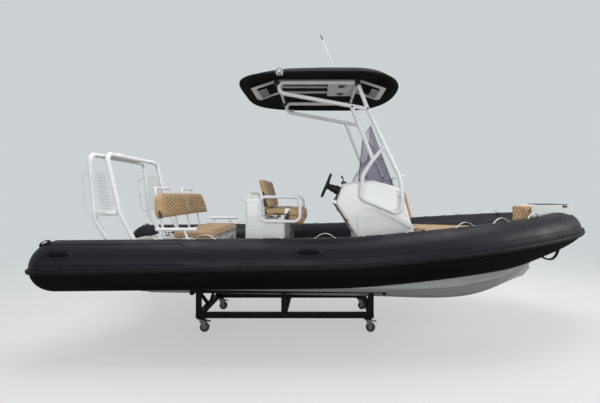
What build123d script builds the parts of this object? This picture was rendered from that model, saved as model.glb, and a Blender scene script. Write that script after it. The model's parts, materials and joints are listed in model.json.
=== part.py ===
from build123d import *
import math
import os

os.makedirs("parts", exist_ok=True)

# A 6.6 m inflatable boat with a rigid V hull, a console with a canopy frame, a helm
# seat, a stern bench and a stern arch, standing on its wheeled steel cradle.
# +X is the bow, +Y is port, +Z is up, the floor is Z = 0, midship is X = 0.

# ---- inflatable collar -----------------------------------------------------------
tube_r = 265.0            # collar radius
tube_y = 988.0            # collar centre line from the boat's middle
tube_aft_x = -2957.0      # where the side tube ends and its cone starts
tube_bend_x = -200.0      # where the side tube starts to rise
tube_turn_x = 335.0       # where the side tube starts to turn inward
axis_aft_z = 908.0        # height of the collar's centre line at its aft end
pitch_aft = 0.55          # slope of the collar aft, degrees
pitch_fwd = 4.66          # slope of the collar at the bow, degrees
turn_1_r = 4374.0         # long bow arc
turn_1 = 30.0             # and the angle that it turns, degrees
turn_2_r = 1285.0         # short bow arc, which ends at the boat's middle
cone_len = 307.7          # length of the stern cones
cone_tip_r = 45.0
cone_mid_r = 200.0
nose_cut = [(1700.0, 784.5), (2300.0, 914.4), (3400.0, 1102.0), (3400.0, 600.0), (1700.0, 600.0)]   # underside
strake_out = 26.0         # how far the rubbing strake stands proud
strake_h = 54.0
strake_edge_h = 26.0
strake_sink = 18.0        # depth that the strake's blank reaches into the collar
seat_gap = 0.3            # clearance under soft pads

# ---- rigid hull ------------------------------------------------------------------
deck_z = 800.0
deck_t = 25.0
deck_fwd_x = 1300.0
deck_tuck = 67.0          # how far the deck reaches in under the collar
transom_x = -2600.0
# station x, keel z, chine y, chine z, shoulder y, shoulder z
hull_stations = [
    (-2600.0, 490.0, 770.0, 650.0, 800.0, 775.0),
    (-2450.0, 358.0, 775.0, 640.0, 800.0, 775.0),
    (-1000.0, 335.0, 780.0, 625.0, 800.0, 775.0),
    (600.0, 305.0, 765.0, 606.0, 800.0, 775.0),
    (1260.0, 287.0, 690.0, 614.0, 770.0, 790.0),
    (1660.0, 308.0, 560.0, 640.0, 690.0, 860.0),
    (1960.0, 375.0, 430.0, 672.0, 590.0, 915.0),
    (2220.0, 487.0, 290.0, 738.0, 460.0, 965.0),
    (2430.0, 620.0, 165.0, 820.0, 330.0, 1005.0),
    (2620.0, 800.0, 60.0, 920.0, 190.0, 1040.0),
]
bow_plate_t = 22.0        # lifting plate at the foot of the stem
bow_plate = [(2120.0, 440.0), (2350.0, 545.0), (2430.0, 574.0), (2475.0, 590.0),
             (2560.0, 690.0), (2545.0, 730.0), (2480.0, 760.0), (2300.0, 700.0)]
bow_hole_r = 13.0
bow_holes = [(2466.0, 628.0), (2520.0, 684.0)]

# ---- stern deck and transom ------------------------------------------------------
aft_deck_z = 1060.0
aft_deck_fwd_x = -1960.0
aft_deck_y = 800.0
wall = 8.0                # moulded wall of lockers, console and pod
well_x = -2350.0          # motor well
well_y = 330.0
transom_t = 60.0
transom_z = 1075.0
transom_half = 715.0
transom_cheek = 60.0      # slope at each side of the transom's raised middle
motor_bolt_top_z = 1030.0
motor_bolt_drop = 203.0
motor_bolt_top_y = 163.5
motor_bolt_low_y = 125.4
motor_bolt_r = 6.5
swim_pod_len = 190.0      # platforms either side of the motor, aft of the transom
swim_pod_y = 360.0
swim_pod_half = 760.0
swim_pod_low_z = 690.0
swim_pod_top_z = 880.0

# ---- bow locker, step and cushions -----------------------------------------------
bow_locker_aft_x = 1080.0
bow_locker_fwd_x = 2300.0
bow_locker_z = 1140.0
locker_plan = [(1080.0, -900.0), (1700.0, -760.0), (2300.0, -500.0)]
bow_cushion_t = 80.0
bow_cushion_x0 = 1100.0
bow_cushion_x1 = 2180.0
bow_cushion_y0 = 600.0
bow_cushion_y1 = 250.0
bow_back_half = 150.0
bow_back_t = 100.0
bow_back_z0 = 1285.0
bow_back_z1 = 1510.0
bow_step_half = 170.0
bow_step_x0 = -436.0      # bow step and base: x from the middle of the collar's nose
bow_step = [(-436.0, 1100.0), (-436.0, 1512.0), (-376.0, 1524.0), (62.0, 1524.0),
            (90.0, 1474.0), (52.0, 1405.0), (-28.0, 1100.0)]
bow_step_edge_r = 20.0
bow_base_half = 330.0
bow_base_z0 = 990.0
bow_base_z = 1240.0
bow_base_x1 = -301.0

# ---- console ---------------------------------------------------------------------
console_half = 420.0
console_side = [(448.0, deck_z), (206.0, 1178.0), (-30.0, 1547.0), (61.0, 1789.0), (200.0, 1812.0),
                (424.0, 1832.0), (630.0, 1777.0), (745.0, 1729.0), (800.0, 1620.0), (1050.0, deck_z)]
console_edge_r = 35.0
ledge_out = 40.0
ledge = [(330.0, 1500.0), (380.0, 1545.0), (470.0, 1545.0), (905.0, 1290.0), (905.0, 1235.0),
         (480.0, 1470.0)]
hatch_w = 420.0
hatch_len = 330.0
hatch_t = 12.0
hatch_lip = 20.0
hatch_run = 50.0          # hatch edge from the knee of the aft face
hinge_r = 6.0
lug_w = 20.0
swing_gap = 5.5           # clearance beside a part that swings
door_pad_half = 300.0
door_pad_t = 55.0
door_pad_z0 = 1350.0
door_pad_z1 = 1690.0

# ---- windscreen ------------------------------------------------------------------
screen_t = 6.0
screen_half = 396.0
screen_foot = (672.0, 1784.0)
screen_top = (403.0, 2490.0)
screen_aft = (336.0, 1833.0)
screen_sink = 60.0        # how far the blank reaches down into the console top

# ---- helm ------------------------------------------------------------------------
wheel_d = 340.0
wheel_rim_d = 28.0
wheel_x = -132.0
wheel_y = 0.0
wheel_z = 1776.0
wheel_tilt = 22.4         # steering axis above the horizontal, pointing aft
hub_r = 45.0
hub_t = 30.0
spoke_w = 26.0
column_r = 38.0
shaft_r = 11.0
column_gap = 6.0
column_len = 220.0

# ---- canopy frame ----------------------------------------------------------------
frame_y = 500.0
frame_d = 48.0
rail_d = 34.0
frame_front = [(228.0, 2988.0), (347.0, 2673.0), (733.0, 1852.0), (763.0, 1591.0), (745.0, 1472.0),
               (686.0, 1430.0), (317.0, 1585.0), (269.0, 1632.0), (287.0, 1876.0), (329.0, 1947.0),
               (400.0, 2054.0), (549.0, 2233.0)]
frame_front_r = [400.0, 400.0, 150.0, 60.0, 60.0, 50.0, 50.0, 80.0, 150.0, 150.0]
frame_aft_post = [(162.0, 2697.0), (412.0, 2066.0)]
frame_arm = [(347.0, 2673.0), (-682.0, 2863.0), (-729.0, 2988.0), (228.0, 2988.0)]
frame_arm_r = [80.0, 60.0]
frame_stubs = [(330.0, 1580.0), (640.0, 1449.0), (757.0, 1640.0)]
frame_bar_x = [(228.0, 2988.0), (-729.0, 2988.0)]
inner_rail_y = [-250.0, 0.0, 250.0]
inner_rail_end_z = 2990.0
inner_rail_x = [-1050.0, -760.0, 290.0, 580.0]
inner_rail_r = 300.0
stub_d = 24.0
tongue_w = 70.0
box_x = [-115.0, 230.0]
box_half = 290.0
box_h = 45.0
lamp_x = -657.0
lamp_w = 70.0
lamp_out = 32.0
lamp_h = 60.0
antenna_x = 41.0
antenna_lean = 22.0
antenna_len = 680.0
antenna_d = 12.0
antenna_foot_r = 24.0
antenna_foot_h = 42.0

# ---- canopy ----------------------------------------------------------------------
canopy_edge_z = 2985.0
canopy_top_z = 3115.0
canopy_t = 10.0
canopy_half = 892.0
canopy_rim = [(-1205.0, -canopy_half), (300.0, -canopy_half), (620.0, -640.0), (770.0, -250.0)]
canopy_rim_r = [400.0, 260.0, 260.0, 260.0]
canopy_crown = [(-770.0, -462.0), (150.0, -462.0), (290.0, -350.0), (345.0, -140.0)]
canopy_crown_r = [120.0, 80.0, 80.0, 80.0]

# ---- helm seat -------------------------------------------------------------------
pod_half = 430.0
pod_aft_x = -1125.0
pod_top_z = 1600.0
pod_top_x = -910.0
pod_seat_x = -872.0
pod_seat_z = 1365.0
pod_fwd_x = -641.0
pod_fwd_z = 1300.0
pod_foot_x = -600.0
pod_edge_r = 35.0
pod_rail_bend = 40.0
seat_half = 400.0
seat_t = 125.0
seat_fwd_x = -622.0
seat_back_t = 50.0
seat_back_top_z = 1850.0
bolster_x0 = -604.0
bolster_x1 = -393.0
bolster_z0 = 1312.0
bolster_z1 = 1490.0
bolster_pin_x = -590.0
bolster_pin_z = 1472.0
bolster_pin_r = 7.0
bolster_cheek_y = 406.0
bolster_cheek_t = 8.0
pod_rail_z = 1672.0
pod_rail_d = 28.0
pod_rail_half = 350.0
pod_rail_x = -1085.0
arm_y = 500.0
arm_d = 36.0
arm_x0 = -932.0
arm_x1 = -456.0
arm_z0 = 1336.0
arm_z1 = 1626.0
arm_r = 70.0
arm_stub_x = [-860.0, -700.0]
arm_stub_d = 24.0

# ---- stern bench -----------------------------------------------------------------
bench_half = 650.0
bench_fwd_x = -1470.0
bench_z = 1140.0
bench_lid_t = 12.0
bench_pad_t = 80.0
bench_pin_x = -1925.0
back_corner_h = 70.0
bench_corner_r = 60.0
back_low_x = -1952.0
back_low_z = 1390.0
back_top_z = 1684.0
back_top_x = -2013.0
back_t = 90.0
back_low_half = 810.0
back_mid_half = 740.0
back_top_half = 665.0
hoop_d = 30.0
hoop_in_y = 200.0
hoop_out_y = 620.0
hoop_top_z = 1732.0
hoop_bend = 45.0
side_rail_d = 36.0
side_rail_z = 1285.0
side_rail_x = [-1960.0, -1530.0]
side_rail_leg_x = [-1880.0, -1660.0]
side_rail_y = 965.0

# ---- stern arch ------------------------------------------------------------------
arch_y = 650.0
arch_d = 53.0
arch_corner_r = 100.0
arch_knee_r = 260.0
arch_fwd = [(-2362.0, 1146.0), (-2515.0, 1450.0), (-2673.0, 2125.0)]
arch_aft = [(-2655.0, 1146.0), (-2795.0, 1357.0), (-2866.0, 2120.0)]
panel_t = 8.0
panel_z0 = 1410.0
panel_z1 = 1940.0
slot_count = 12
slot_w = 95.0
slot_h = 10.0
slot_pitch = 36.0
arch_plate_t = 8.0
arch_plate_half = 430.0
arch_lamp_r = 30.0
arch_lamp_h = 55.0
arch_handle_d = 20.0
arch_handle_r = [30.0, 50.0, 200.0, 40.0]
arch_lamp_y = -200.0
arch_handle = [(-2847.0, 1908.0), (-2937.0, 1890.0), (-2953.0, 1820.0), (-2910.0, 1480.0),
               (-2887.0, 1430.0), (-2811.0, 1404.0)]

# ---- collar fittings -------------------------------------------------------------
strap_d = 14.0
strap_span = 225.0
strap_rise = 46.0
strap_x = [-1422.0, -726.0, -162.0, 360.0, 817.0, 1360.0, 1815.0, 2306.0]

# ---- cradle ----------------------------------------------------------------------
cradle_y = 430.0
rail_w = 50.0
rail_top_z = 499.0
rail_h = 30.0
cradle_aft_x = -1782.0
cradle_fwd_x = 576.0
sill_z0 = 170.0
sill_z1 = 233.0
leg_w = 58.0
leg_x_list = [-1682.0, -655.0, 400.0]
brace_t = 30.0
caster_x = [-1645.0, 358.0]
fork_top_t = 10.0
fork_plate = 90.0
wheel_r = 56.0
wheel_w = 36.0
caster_trail = 34.0
fork_t = 5.0
fork_gap = 5.5
axle_r = 6.0
swivel_h = 16.0
swivel_r = 26.0


# Starboard centre line of the collar: a straight run, a rising arc in a vertical plane,
# then two inward arcs in the plane that slopes by pitch_fwd, ending at the middle.
q = math.radians(pitch_aft)
p = math.radians(pitch_fwd)
run_len = (tube_bend_x - tube_aft_x) / math.cos(q)
rise_r = (tube_turn_x - tube_bend_x) / (math.sin(p) - math.sin(q))
along = Vector(math.cos(p), 0, math.sin(p))
above = Vector(-math.sin(p), 0, math.cos(p))
port = Vector(0, 1, 0)
run_0 = Vector(tube_aft_x, -tube_y, axis_aft_z)
run_1 = run_0 + Vector(math.cos(q), 0, math.sin(q)) * run_len
rise_c = run_1 + Vector(-math.sin(q), 0, math.cos(q)) * rise_r
turn_0 = rise_c + Vector(math.sin(p), 0, -math.cos(p)) * rise_r
a1 = math.radians(turn_1)
a2 = math.acos(math.cos(a1) - (tube_y - turn_1_r * (1 - math.cos(a1))) / turn_2_r)
turn_2 = math.degrees(a2)
turn_mid = turn_0 + along * (turn_1_r * math.sin(a1)) + port * (turn_1_r * (1 - math.cos(a1)))
turn_end = turn_mid + along * (turn_2_r * (math.sin(a2) - math.sin(a1)))
turn_end = turn_end + port * (turn_2_r * (math.cos(a1) - math.cos(a2)))
nose_x = turn_end.X
print("collar: nose heading", round(turn_2, 2), "ends at", turn_end)


def heading_plane(origin, a):
    # across the collar where it heads a radians inward; local x is outboard, y is up
    outboard = along * math.sin(a) - port * math.cos(a)
    return Plane(origin=origin, x_dir=outboard, z_dir=along * math.cos(a) + port * math.sin(a))


aft_plane = Plane(origin=run_0, x_dir=(0, -1, 0), z_dir=(math.cos(q), 0, math.sin(q)))
bend_plane = Plane(origin=run_1, x_dir=(0, -1, 0), z_dir=(math.cos(q), 0, math.sin(q)))
rise_axis = Axis(rise_c, (0, -1, 0))
turn_axis_1 = Axis(turn_0 + port * turn_1_r, above)
turn_axis_2 = Axis(turn_mid + (port * math.cos(a1) - along * math.sin(a1)) * turn_2_r, above)
past_nose = 420.0


# ---- collar ----------------------------------------------------------------------
with BuildPart() as tubes:
    with BuildSketch(aft_plane):
        Circle(tube_r)
    extrude(amount=run_len)
    with BuildSketch(bend_plane):
        Circle(tube_r)
    revolve(axis=rise_axis, revolution_arc=pitch_fwd - pitch_aft)
    with BuildSketch(heading_plane(turn_0, 0)):
        Circle(tube_r)
    revolve(axis=turn_axis_1, revolution_arc=turn_1)
    with BuildSketch(heading_plane(turn_mid, a1)):
        Circle(tube_r)
    revolve(axis=turn_axis_2, revolution_arc=turn_2 - turn_1)
    with BuildSketch(heading_plane(turn_end, a2)):
        Circle(tube_r)
    extrude(amount=past_nose)
    split(bisect_by=Plane.XZ, keep=Keep.TOP)
    with BuildSketch(Plane(origin=run_0, x_dir=(-math.cos(q), 0, -math.sin(q)), z_dir=(0, 1, 0))):
        with BuildLine():
            Line((0, 0), (0, tube_r))
            ThreePointArc((0, tube_r), (cone_len * 0.6, cone_mid_r), (cone_len, cone_tip_r))
            Line((cone_len, cone_tip_r), (cone_len, 0))
            Line((cone_len, 0), (0, 0))
        make_face()
    revolve(axis=Axis(run_0, (math.cos(q), 0, math.sin(q))))
    mirror(about=Plane.XZ)
    with BuildSketch(Plane.XZ):
        Polygon(*nose_cut, align=None)
    extrude(amount=2 * tube_y, both=True, mode=Mode.SUBTRACT)
tubes.part.label = "tubes"
export_step(tubes.part, "parts/tubes.step")

def bent_tube(points, radii, diameter):
    # a round tube along straight runs joined by tangent arcs
    with BuildPart() as piece:
        with BuildLine() as route:
            if radii:
                FilletPolyline(*points, radius=radii)
            else:
                Polyline(*points)
        with BuildSketch(Plane(origin=route.line @ 0, z_dir=route.line % 0)):
            Circle(diameter / 2)
        sweep(path=route.line)
    return piece.part


def bar(x0, x1, y0, y1, z0, z1):
    # a plain block given by its limits
    with BuildPart(Plane.XY.offset(z0)) as block:
        with Locations(((x0 + x1) / 2, (y0 + y1) / 2)):
            Box(abs(x1 - x0), abs(y1 - y0), z1 - z0, align=(Align.CENTER, Align.CENTER, Align.MIN))
    return block.part


def at_y(points, y):
    # side-view points (x, z) placed at one y
    return [(x, y, z) for x, z in points]


def finish(piece, name):
    piece.part.label = name
    export_step(piece.part, "parts/" + name + ".step")


strake_profile = [(tube_r - strake_sink, -strake_h / 2), (tube_r + strake_out, -strake_edge_h / 2),
                  (tube_r + strake_out, strake_edge_h / 2), (tube_r - strake_sink, strake_h / 2)]
with BuildPart() as rub_strake:
    with BuildSketch(aft_plane):
        Polygon(*strake_profile, align=None)
    extrude(amount=run_len)
    with BuildSketch(bend_plane):
        Polygon(*strake_profile, align=None)
    revolve(axis=rise_axis, revolution_arc=pitch_fwd - pitch_aft)
    with BuildSketch(heading_plane(turn_0, 0)):
        Polygon(*strake_profile, align=None)
    revolve(axis=turn_axis_1, revolution_arc=turn_1)
    with BuildSketch(heading_plane(turn_mid, a1)):
        Polygon(*strake_profile, align=None)
    revolve(axis=turn_axis_2, revolution_arc=turn_2 - turn_1)
    with BuildSketch(heading_plane(turn_end, a2)):
        Polygon(*strake_profile, align=None)
    extrude(amount=past_nose)
    split(bisect_by=Plane.XZ, keep=Keep.TOP)
    with BuildSketch(Plane(origin=run_0, x_dir=(-math.cos(q), 0, -math.sin(q)),
                           z_dir=(-math.sin(q), 0, math.cos(q)))):
        with BuildLine():
            Line((0, tube_r - strake_sink), (0, tube_r + strake_out))
            ThreePointArc((0, tube_r + strake_out), (cone_len * 0.62, cone_mid_r + strake_out),
                          (cone_len + strake_out, cone_tip_r))
            Line((cone_len + strake_out, cone_tip_r), (cone_len + strake_out, -20))
            Line((cone_len + strake_out, -20), (cone_len - strake_sink, -20))
            Line((cone_len - strake_sink, -20), (cone_len - strake_sink, cone_tip_r - strake_sink))
            ThreePointArc((cone_len - strake_sink, cone_tip_r - strake_sink),
                          (cone_len * 0.58, cone_mid_r - strake_sink),
                          (0, tube_r - strake_sink))
        make_face()
    extrude(amount=strake_h * 0.4, both=True)
    mirror(about=Plane.XZ)
    add(tubes.part, mode=Mode.SUBTRACT)
finish(rub_strake, "rub_strake")

# ---- rigid hull ------------------------------------------------------------------
with BuildPart() as hull:
    for x, keel_z, chine_y, chine_z, shoulder_y, shoulder_z in hull_stations:
        with BuildSketch(Plane(origin=(x, 0, 0), x_dir=(0, 1, 0), z_dir=(1, 0, 0))):
            Polygon((0, keel_z), (chine_y, chine_z), (shoulder_y, shoulder_z),
                    (-shoulder_y, shoulder_z), (-chine_y, chine_z), align=None)
    loft(ruled=True)
    with BuildSketch(Plane.XZ):
        Polygon(*bow_plate, align=None)
    extrude(amount=bow_plate_t / 2, both=True)
    with BuildSketch(Plane.XZ):
        for x, z in bow_holes:
            with Locations((x, z)):
                Circle(bow_hole_r)
    extrude(amount=bow_plate_t * 2, both=True, mode=Mode.SUBTRACT)
    add(tubes.part, mode=Mode.SUBTRACT)
finish(hull, "hull")

deck_half = tube_y - tube_r + deck_tuck
with BuildPart() as deck:
    add(bar(transom_x, deck_fwd_x, -deck_half, deck_half, deck_z - deck_t, deck_z))
    add(tubes.part, mode=Mode.SUBTRACT)
    add(hull.part, mode=Mode.SUBTRACT)
finish(deck, "deck")

# ---- stern deck, transom and swim platforms --------------------------------------
with BuildPart() as aft_deck:
    add(bar(transom_x, aft_deck_fwd_x, -aft_deck_y, aft_deck_y, deck_z, aft_deck_z))
    add(bar(transom_x, well_x, -well_y, well_y, deck_z, aft_deck_z), mode=Mode.SUBTRACT)
    add(bar(well_x + wall, aft_deck_fwd_x - wall, -transom_half, transom_half, deck_z, aft_deck_z - wall),
        mode=Mode.SUBTRACT)
    for side in (-1, 1):
        add(bar(transom_x + wall, well_x + wall, side * (well_y + wall), side * transom_half, deck_z,
                aft_deck_z - wall),
            mode=Mode.SUBTRACT)
    add(tubes.part, mode=Mode.SUBTRACT)
finish(aft_deck, "aft_deck")

transom_row = hull_stations[0]
with BuildPart() as transom:
    with BuildSketch(Plane(origin=(transom_x - transom_t, 0, 0), x_dir=(0, 1, 0), z_dir=(1, 0, 0))):
        Polygon((0, transom_row[1]), (transom_row[2], transom_row[3]), (aft_deck_y, transom_row[5]),
                (aft_deck_y, aft_deck_z), (well_y, aft_deck_z), (well_y - transom_cheek, transom_z),
                (transom_cheek - well_y, transom_z), (-well_y, aft_deck_z), (-aft_deck_y, aft_deck_z),
                (-aft_deck_y, transom_row[5]), (-transom_row[2], transom_row[3]), align=None)
        for y, z in ((motor_bolt_top_y, motor_bolt_top_z),
                     (motor_bolt_low_y, motor_bolt_top_z - motor_bolt_drop)):
            with Locations((-y, z), (y, z)):
                Circle(motor_bolt_r, mode=Mode.SUBTRACT)
    extrude(amount=transom_t)
    add(tubes.part, mode=Mode.SUBTRACT)
finish(transom, "transom")

swim_pod_aft_x = transom_x - transom_t - swim_pod_len
with BuildPart() as swim_pods:
    for side in (-1, 1):
        add(bar(swim_pod_aft_x, transom_x - transom_t, side * swim_pod_y, side * swim_pod_half,
                swim_pod_low_z, swim_pod_top_z))
        add(bar(swim_pod_aft_x + wall, transom_x - transom_t - wall, side * (swim_pod_y + wall),
                side * (transom_half - wall), swim_pod_low_z, swim_pod_top_z - wall), mode=Mode.SUBTRACT)
    add(tubes.part, mode=Mode.SUBTRACT)
finish(swim_pods, "swim_pods")

# ---- bow locker, step and cushions -----------------------------------------------
locker_foot = [(bow_locker_aft_x, deck_z), (deck_fwd_x, deck_z)]
for row in hull_stations:
    if deck_fwd_x < row[0] < bow_locker_fwd_x:
        locker_foot.append((row[0], row[5]))
row_a = [row for row in hull_stations if row[0] < bow_locker_fwd_x][-1]
row_b = [row for row in hull_stations if row[0] >= bow_locker_fwd_x][0]
locker_foot.append((bow_locker_fwd_x,
                    row_a[5] + (row_b[5] - row_a[5]) * (bow_locker_fwd_x - row_a[0]) / (row_b[0] - row_a[0])))
with BuildPart() as bow_locker:
    with BuildSketch(Plane.XZ):
        Polygon(*locker_foot, (bow_locker_fwd_x, bow_locker_z), (bow_locker_aft_x, bow_locker_z), align=None)
    extrude(amount=tube_y, both=True)
    with BuildSketch(Plane.XY.offset(deck_z - deck_t)):
        Polygon(*locker_plan, *[(x, -y) for x, y in reversed(locker_plan)], align=None)
    extrude(amount=bow_locker_z, mode=Mode.INTERSECT)
    with BuildSketch(Plane.XY.offset(deck_z)):
        Polygon((bow_locker_aft_x + wall, -bow_cushion_y0), (bow_cushion_x1, -bow_cushion_y1 + 60),
                (bow_cushion_x1, bow_cushion_y1 - 60), (bow_locker_aft_x + wall, bow_cushion_y0), align=None)
    extrude(amount=bow_locker_z - deck_z - wall, mode=Mode.SUBTRACT)
    add(tubes.part, mode=Mode.SUBTRACT)
    add(hull.part, mode=Mode.SUBTRACT)
    add(deck.part, mode=Mode.SUBTRACT)
finish(bow_locker, "bow_locker")

with BuildPart() as bow_moulding:
    with BuildSketch(Plane.XZ):
        Polygon(*[(nose_x + x, z) for x, z in bow_step], align=None)
    extrude(amount=bow_step_half, both=True)
    add(bar(bow_locker_fwd_x, nose_x + bow_base_x1, -bow_base_half, bow_base_half, bow_base_z0, bow_base_z))
    add(tubes.part, mode=Mode.SUBTRACT)
    add(hull.part, mode=Mode.SUBTRACT)
finish(bow_moulding, "bow_moulding")

with BuildPart() as bow_cushion:
    with BuildSketch(Plane.XY.offset(bow_locker_z + seat_gap)):
        Polygon((bow_cushion_x0, -bow_cushion_y0), (bow_cushion_x1, -bow_cushion_y1),
                (bow_cushion_x1, bow_cushion_y1), (bow_cushion_x0, bow_cushion_y0), align=None)
        fillet(vertices(), 60)
    extrude(amount=bow_cushion_t)
finish(bow_cushion, "bow_cushion")

back_x = nose_x + bow_step_x0 - seat_gap
with BuildPart() as bow_back:
    add(bar(back_x - bow_back_t, back_x, -bow_back_half, bow_back_half, bow_back_z0, bow_back_z1))
    fillet(edges().filter_by(Axis.X), 25)
finish(bow_back, "bow_back")

# ---- console ---------------------------------------------------------------------
knee = Vector(console_side[1][0], 0, console_side[1][1])
dash_foot = Vector(console_side[2][0], 0, console_side[2][1])
hatch_up = (dash_foot - knee).normalized()
hatch_out = Vector(-hatch_up.Z, 0, hatch_up.X) * 1.0
hatch_plane = Plane(origin=knee + hatch_up * hatch_run, x_dir=(0, -1, 0), z_dir=hatch_out)


def side_rounded(points, half, radius, floor_z):
    # a side profile made as wide as 2 x half, with the edges of both side faces rounded
    with BuildPart() as body:
        with BuildSketch(Plane.XZ):
            Polygon(*points, align=None)
        extrude(amount=half, both=True)
        rim = edges().filter_by(lambda e: abs(abs(e.center().Y) - half) < 0.01)
        fillet(rim.filter_by(lambda e: e.center().Z > floor_z + 0.01), radius)
    return body.part


def below(foot, upper, drop):
    # the point on the line upper-foot that lies drop under the foot
    share = drop / (upper[1] - foot[1])
    return (foot[0] + (foot[0] - upper[0]) * share, foot[1] - drop)


def hollow(points, half, radius, floor_z):
    # the same body as an open-bottomed moulding with one wall thickness
    outer = side_rounded(points, half, radius, floor_z)
    deep = [below(points[0], points[1], 5 * wall)] + points[1:-1] + [below(points[-1], points[-2], 5 * wall)]
    with BuildPart() as inner:
        with BuildSketch(Plane.XZ):
            Polygon(*deep, align=None)
            offset(amount=-wall, kind=Kind.INTERSECTION)
        extrude(amount=half - wall, both=True)
        rim = edges().filter_by(lambda e: abs(abs(e.center().Y) - half + wall) < 0.01)
        fillet(rim.filter_by(lambda e: e.center().Z > floor_z - 2 * wall), radius - wall)
    with BuildPart() as shell:
        add(outer)
        add(inner.part, mode=Mode.SUBTRACT)
    return shell.part


hatch_pin = knee + hatch_up * (hatch_run - hinge_r / 2) + hatch_out * (hinge_r + seat_gap)
console_shell = hollow(console_side, console_half, console_edge_r, deck_z)
with BuildPart() as console:
    add(console_shell)
    for side in (-1, 1):
        with BuildSketch(Plane(origin=(0, side * (console_half - wall / 2), 0), x_dir=(1, 0, 0),
                               z_dir=(0, -1, 0))):
            Polygon(*ledge, align=None)
        extrude(amount=-side * (ledge_out + wall / 2))
    with BuildSketch(hatch_plane):
        with Locations((0, hatch_len / 2)):
            RectangleRounded(hatch_w - 2 * hatch_lip, hatch_len - 2 * hatch_lip, 30)
    extrude(amount=3 * wall, both=True, mode=Mode.SUBTRACT)
    for side in (-1, 1):
        with BuildSketch(hatch_plane):
            with Locations((side * (hatch_w / 2 + swing_gap + lug_w / 2), -hinge_r / 2)):
                Rectangle(lug_w, 2 * hinge_r)
        extrude(amount=2 * hinge_r)
finish(console, "console")

with BuildPart() as hatch:
    with BuildSketch(hatch_plane.offset(seat_gap)):
        with Locations((0, hatch_len / 2)):
            RectangleRounded(hatch_w, hatch_len, 30)
    extrude(amount=hatch_t)
    with BuildSketch(Plane.XZ.offset(-hatch_w / 2 - swing_gap + seat_gap)):
        with Locations((hatch_pin.X, hatch_pin.Z)):
            Circle(hinge_r)
    extrude(amount=hatch_w + 2 * swing_gap - 2 * seat_gap)
finish(hatch, "console_hatch")

front_top = console_side[8]
front_foot = console_side[9]
front_lean = (front_foot[0] - front_top[0]) / (front_top[1] - front_foot[1])
pad_low_x = front_top[0] + front_lean * (front_top[1] - door_pad_z0) + seat_gap * 1.5
with BuildPart() as console_pad:
    with BuildSketch(Plane.XZ):
        Polygon((pad_low_x, door_pad_z0), (front_top[0] + seat_gap * 1.5, front_top[1]),
                (front_top[0] - 4, door_pad_z1),
                (front_top[0] + door_pad_t - 8, door_pad_z1), (pad_low_x + door_pad_t, door_pad_z0),
                align=None)
    extrude(amount=door_pad_half, both=True)
finish(console_pad, "console_pad")

# ---- windscreen ------------------------------------------------------------------
with BuildPart() as windscreen:
    foot_low = below(screen_foot, screen_top, screen_sink)
    with BuildSketch(Plane.XZ):
        Polygon(screen_top, foot_low, (foot_low[0] - screen_t * 1.07, foot_low[1]),
                (screen_top[0] - screen_t * 1.07, screen_top[1]), align=None)
    extrude(amount=screen_half, both=True)
    for side in (-1, 1):
        with BuildSketch(Plane.XZ.offset(-side * screen_half)):
            Polygon((screen_aft[0], screen_aft[1] - screen_sink), screen_aft, screen_top, foot_low,
                    align=None)
        extrude(amount=side * screen_t)
    add(side_rounded(console_side, console_half, console_edge_r, deck_z), mode=Mode.SUBTRACT)
finish(windscreen, "windscreen")


# ---- steering wheel and column ---------------------------------------------------
tilt = math.radians(wheel_tilt)
wheel_plane = Plane(origin=(wheel_x, wheel_y, wheel_z), x_dir=(0, 1, 0),
                    z_dir=(-math.cos(tilt), 0, math.sin(tilt)))
rim_r = (wheel_d - wheel_rim_d) / 2
with BuildPart(wheel_plane) as steering_wheel:
    Torus(rim_r, wheel_rim_d / 2)
    with BuildSketch(wheel_plane.offset(-hub_t)):
        Circle(hub_r)
    extrude(amount=hub_t)
    with BuildSketch(wheel_plane.offset(-hub_t / 2)):
        with PolarLocations(rim_r / 2, 3, start_angle=90):
            Rectangle(rim_r, spoke_w)
    extrude(amount=8, both=True)
    with BuildSketch(wheel_plane.offset(-hub_t)):
        Circle(shaft_r)
    extrude(amount=-column_gap + seat_gap)
finish(steering_wheel, "steering_wheel")

with BuildPart() as helm_column:
    with BuildSketch(wheel_plane.offset(-hub_t - column_gap)):
        Circle(column_r)
    extrude(amount=-column_len, taper=-8)
    add(side_rounded(console_side, console_half, console_edge_r, deck_z), mode=Mode.SUBTRACT)
finish(helm_column, "helm_column")

# ---- canopy frame ----------------------------------------------------------------
frame_pieces = []
for side in (-1, 1):
    y = side * frame_y
    frame_pieces.append(bent_tube(at_y(frame_front, y), frame_front_r, frame_d))
    frame_pieces.append(bent_tube(at_y(frame_arm, y), frame_arm_r, frame_d))
    frame_pieces.append(bent_tube(at_y(frame_aft_post, y), None, frame_d))
    for x, z in frame_stubs:
        frame_pieces.append(bent_tube([(x, y, z), (x, side * console_half, z)], None, rail_d))
with BuildPart() as canopy_sides:
    for piece in frame_pieces:
        add(piece)
    add(console.part, mode=Mode.SUBTRACT)
finish(canopy_sides, "canopy_sides")

with BuildPart() as canopy_bars:
    for x, z in frame_bar_x:
        add(bent_tube([(x, -frame_y, z), (x, frame_y, z)], None, rail_d))
    add(canopy_sides.part, mode=Mode.SUBTRACT)
finish(canopy_bars, "canopy_bars")

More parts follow.
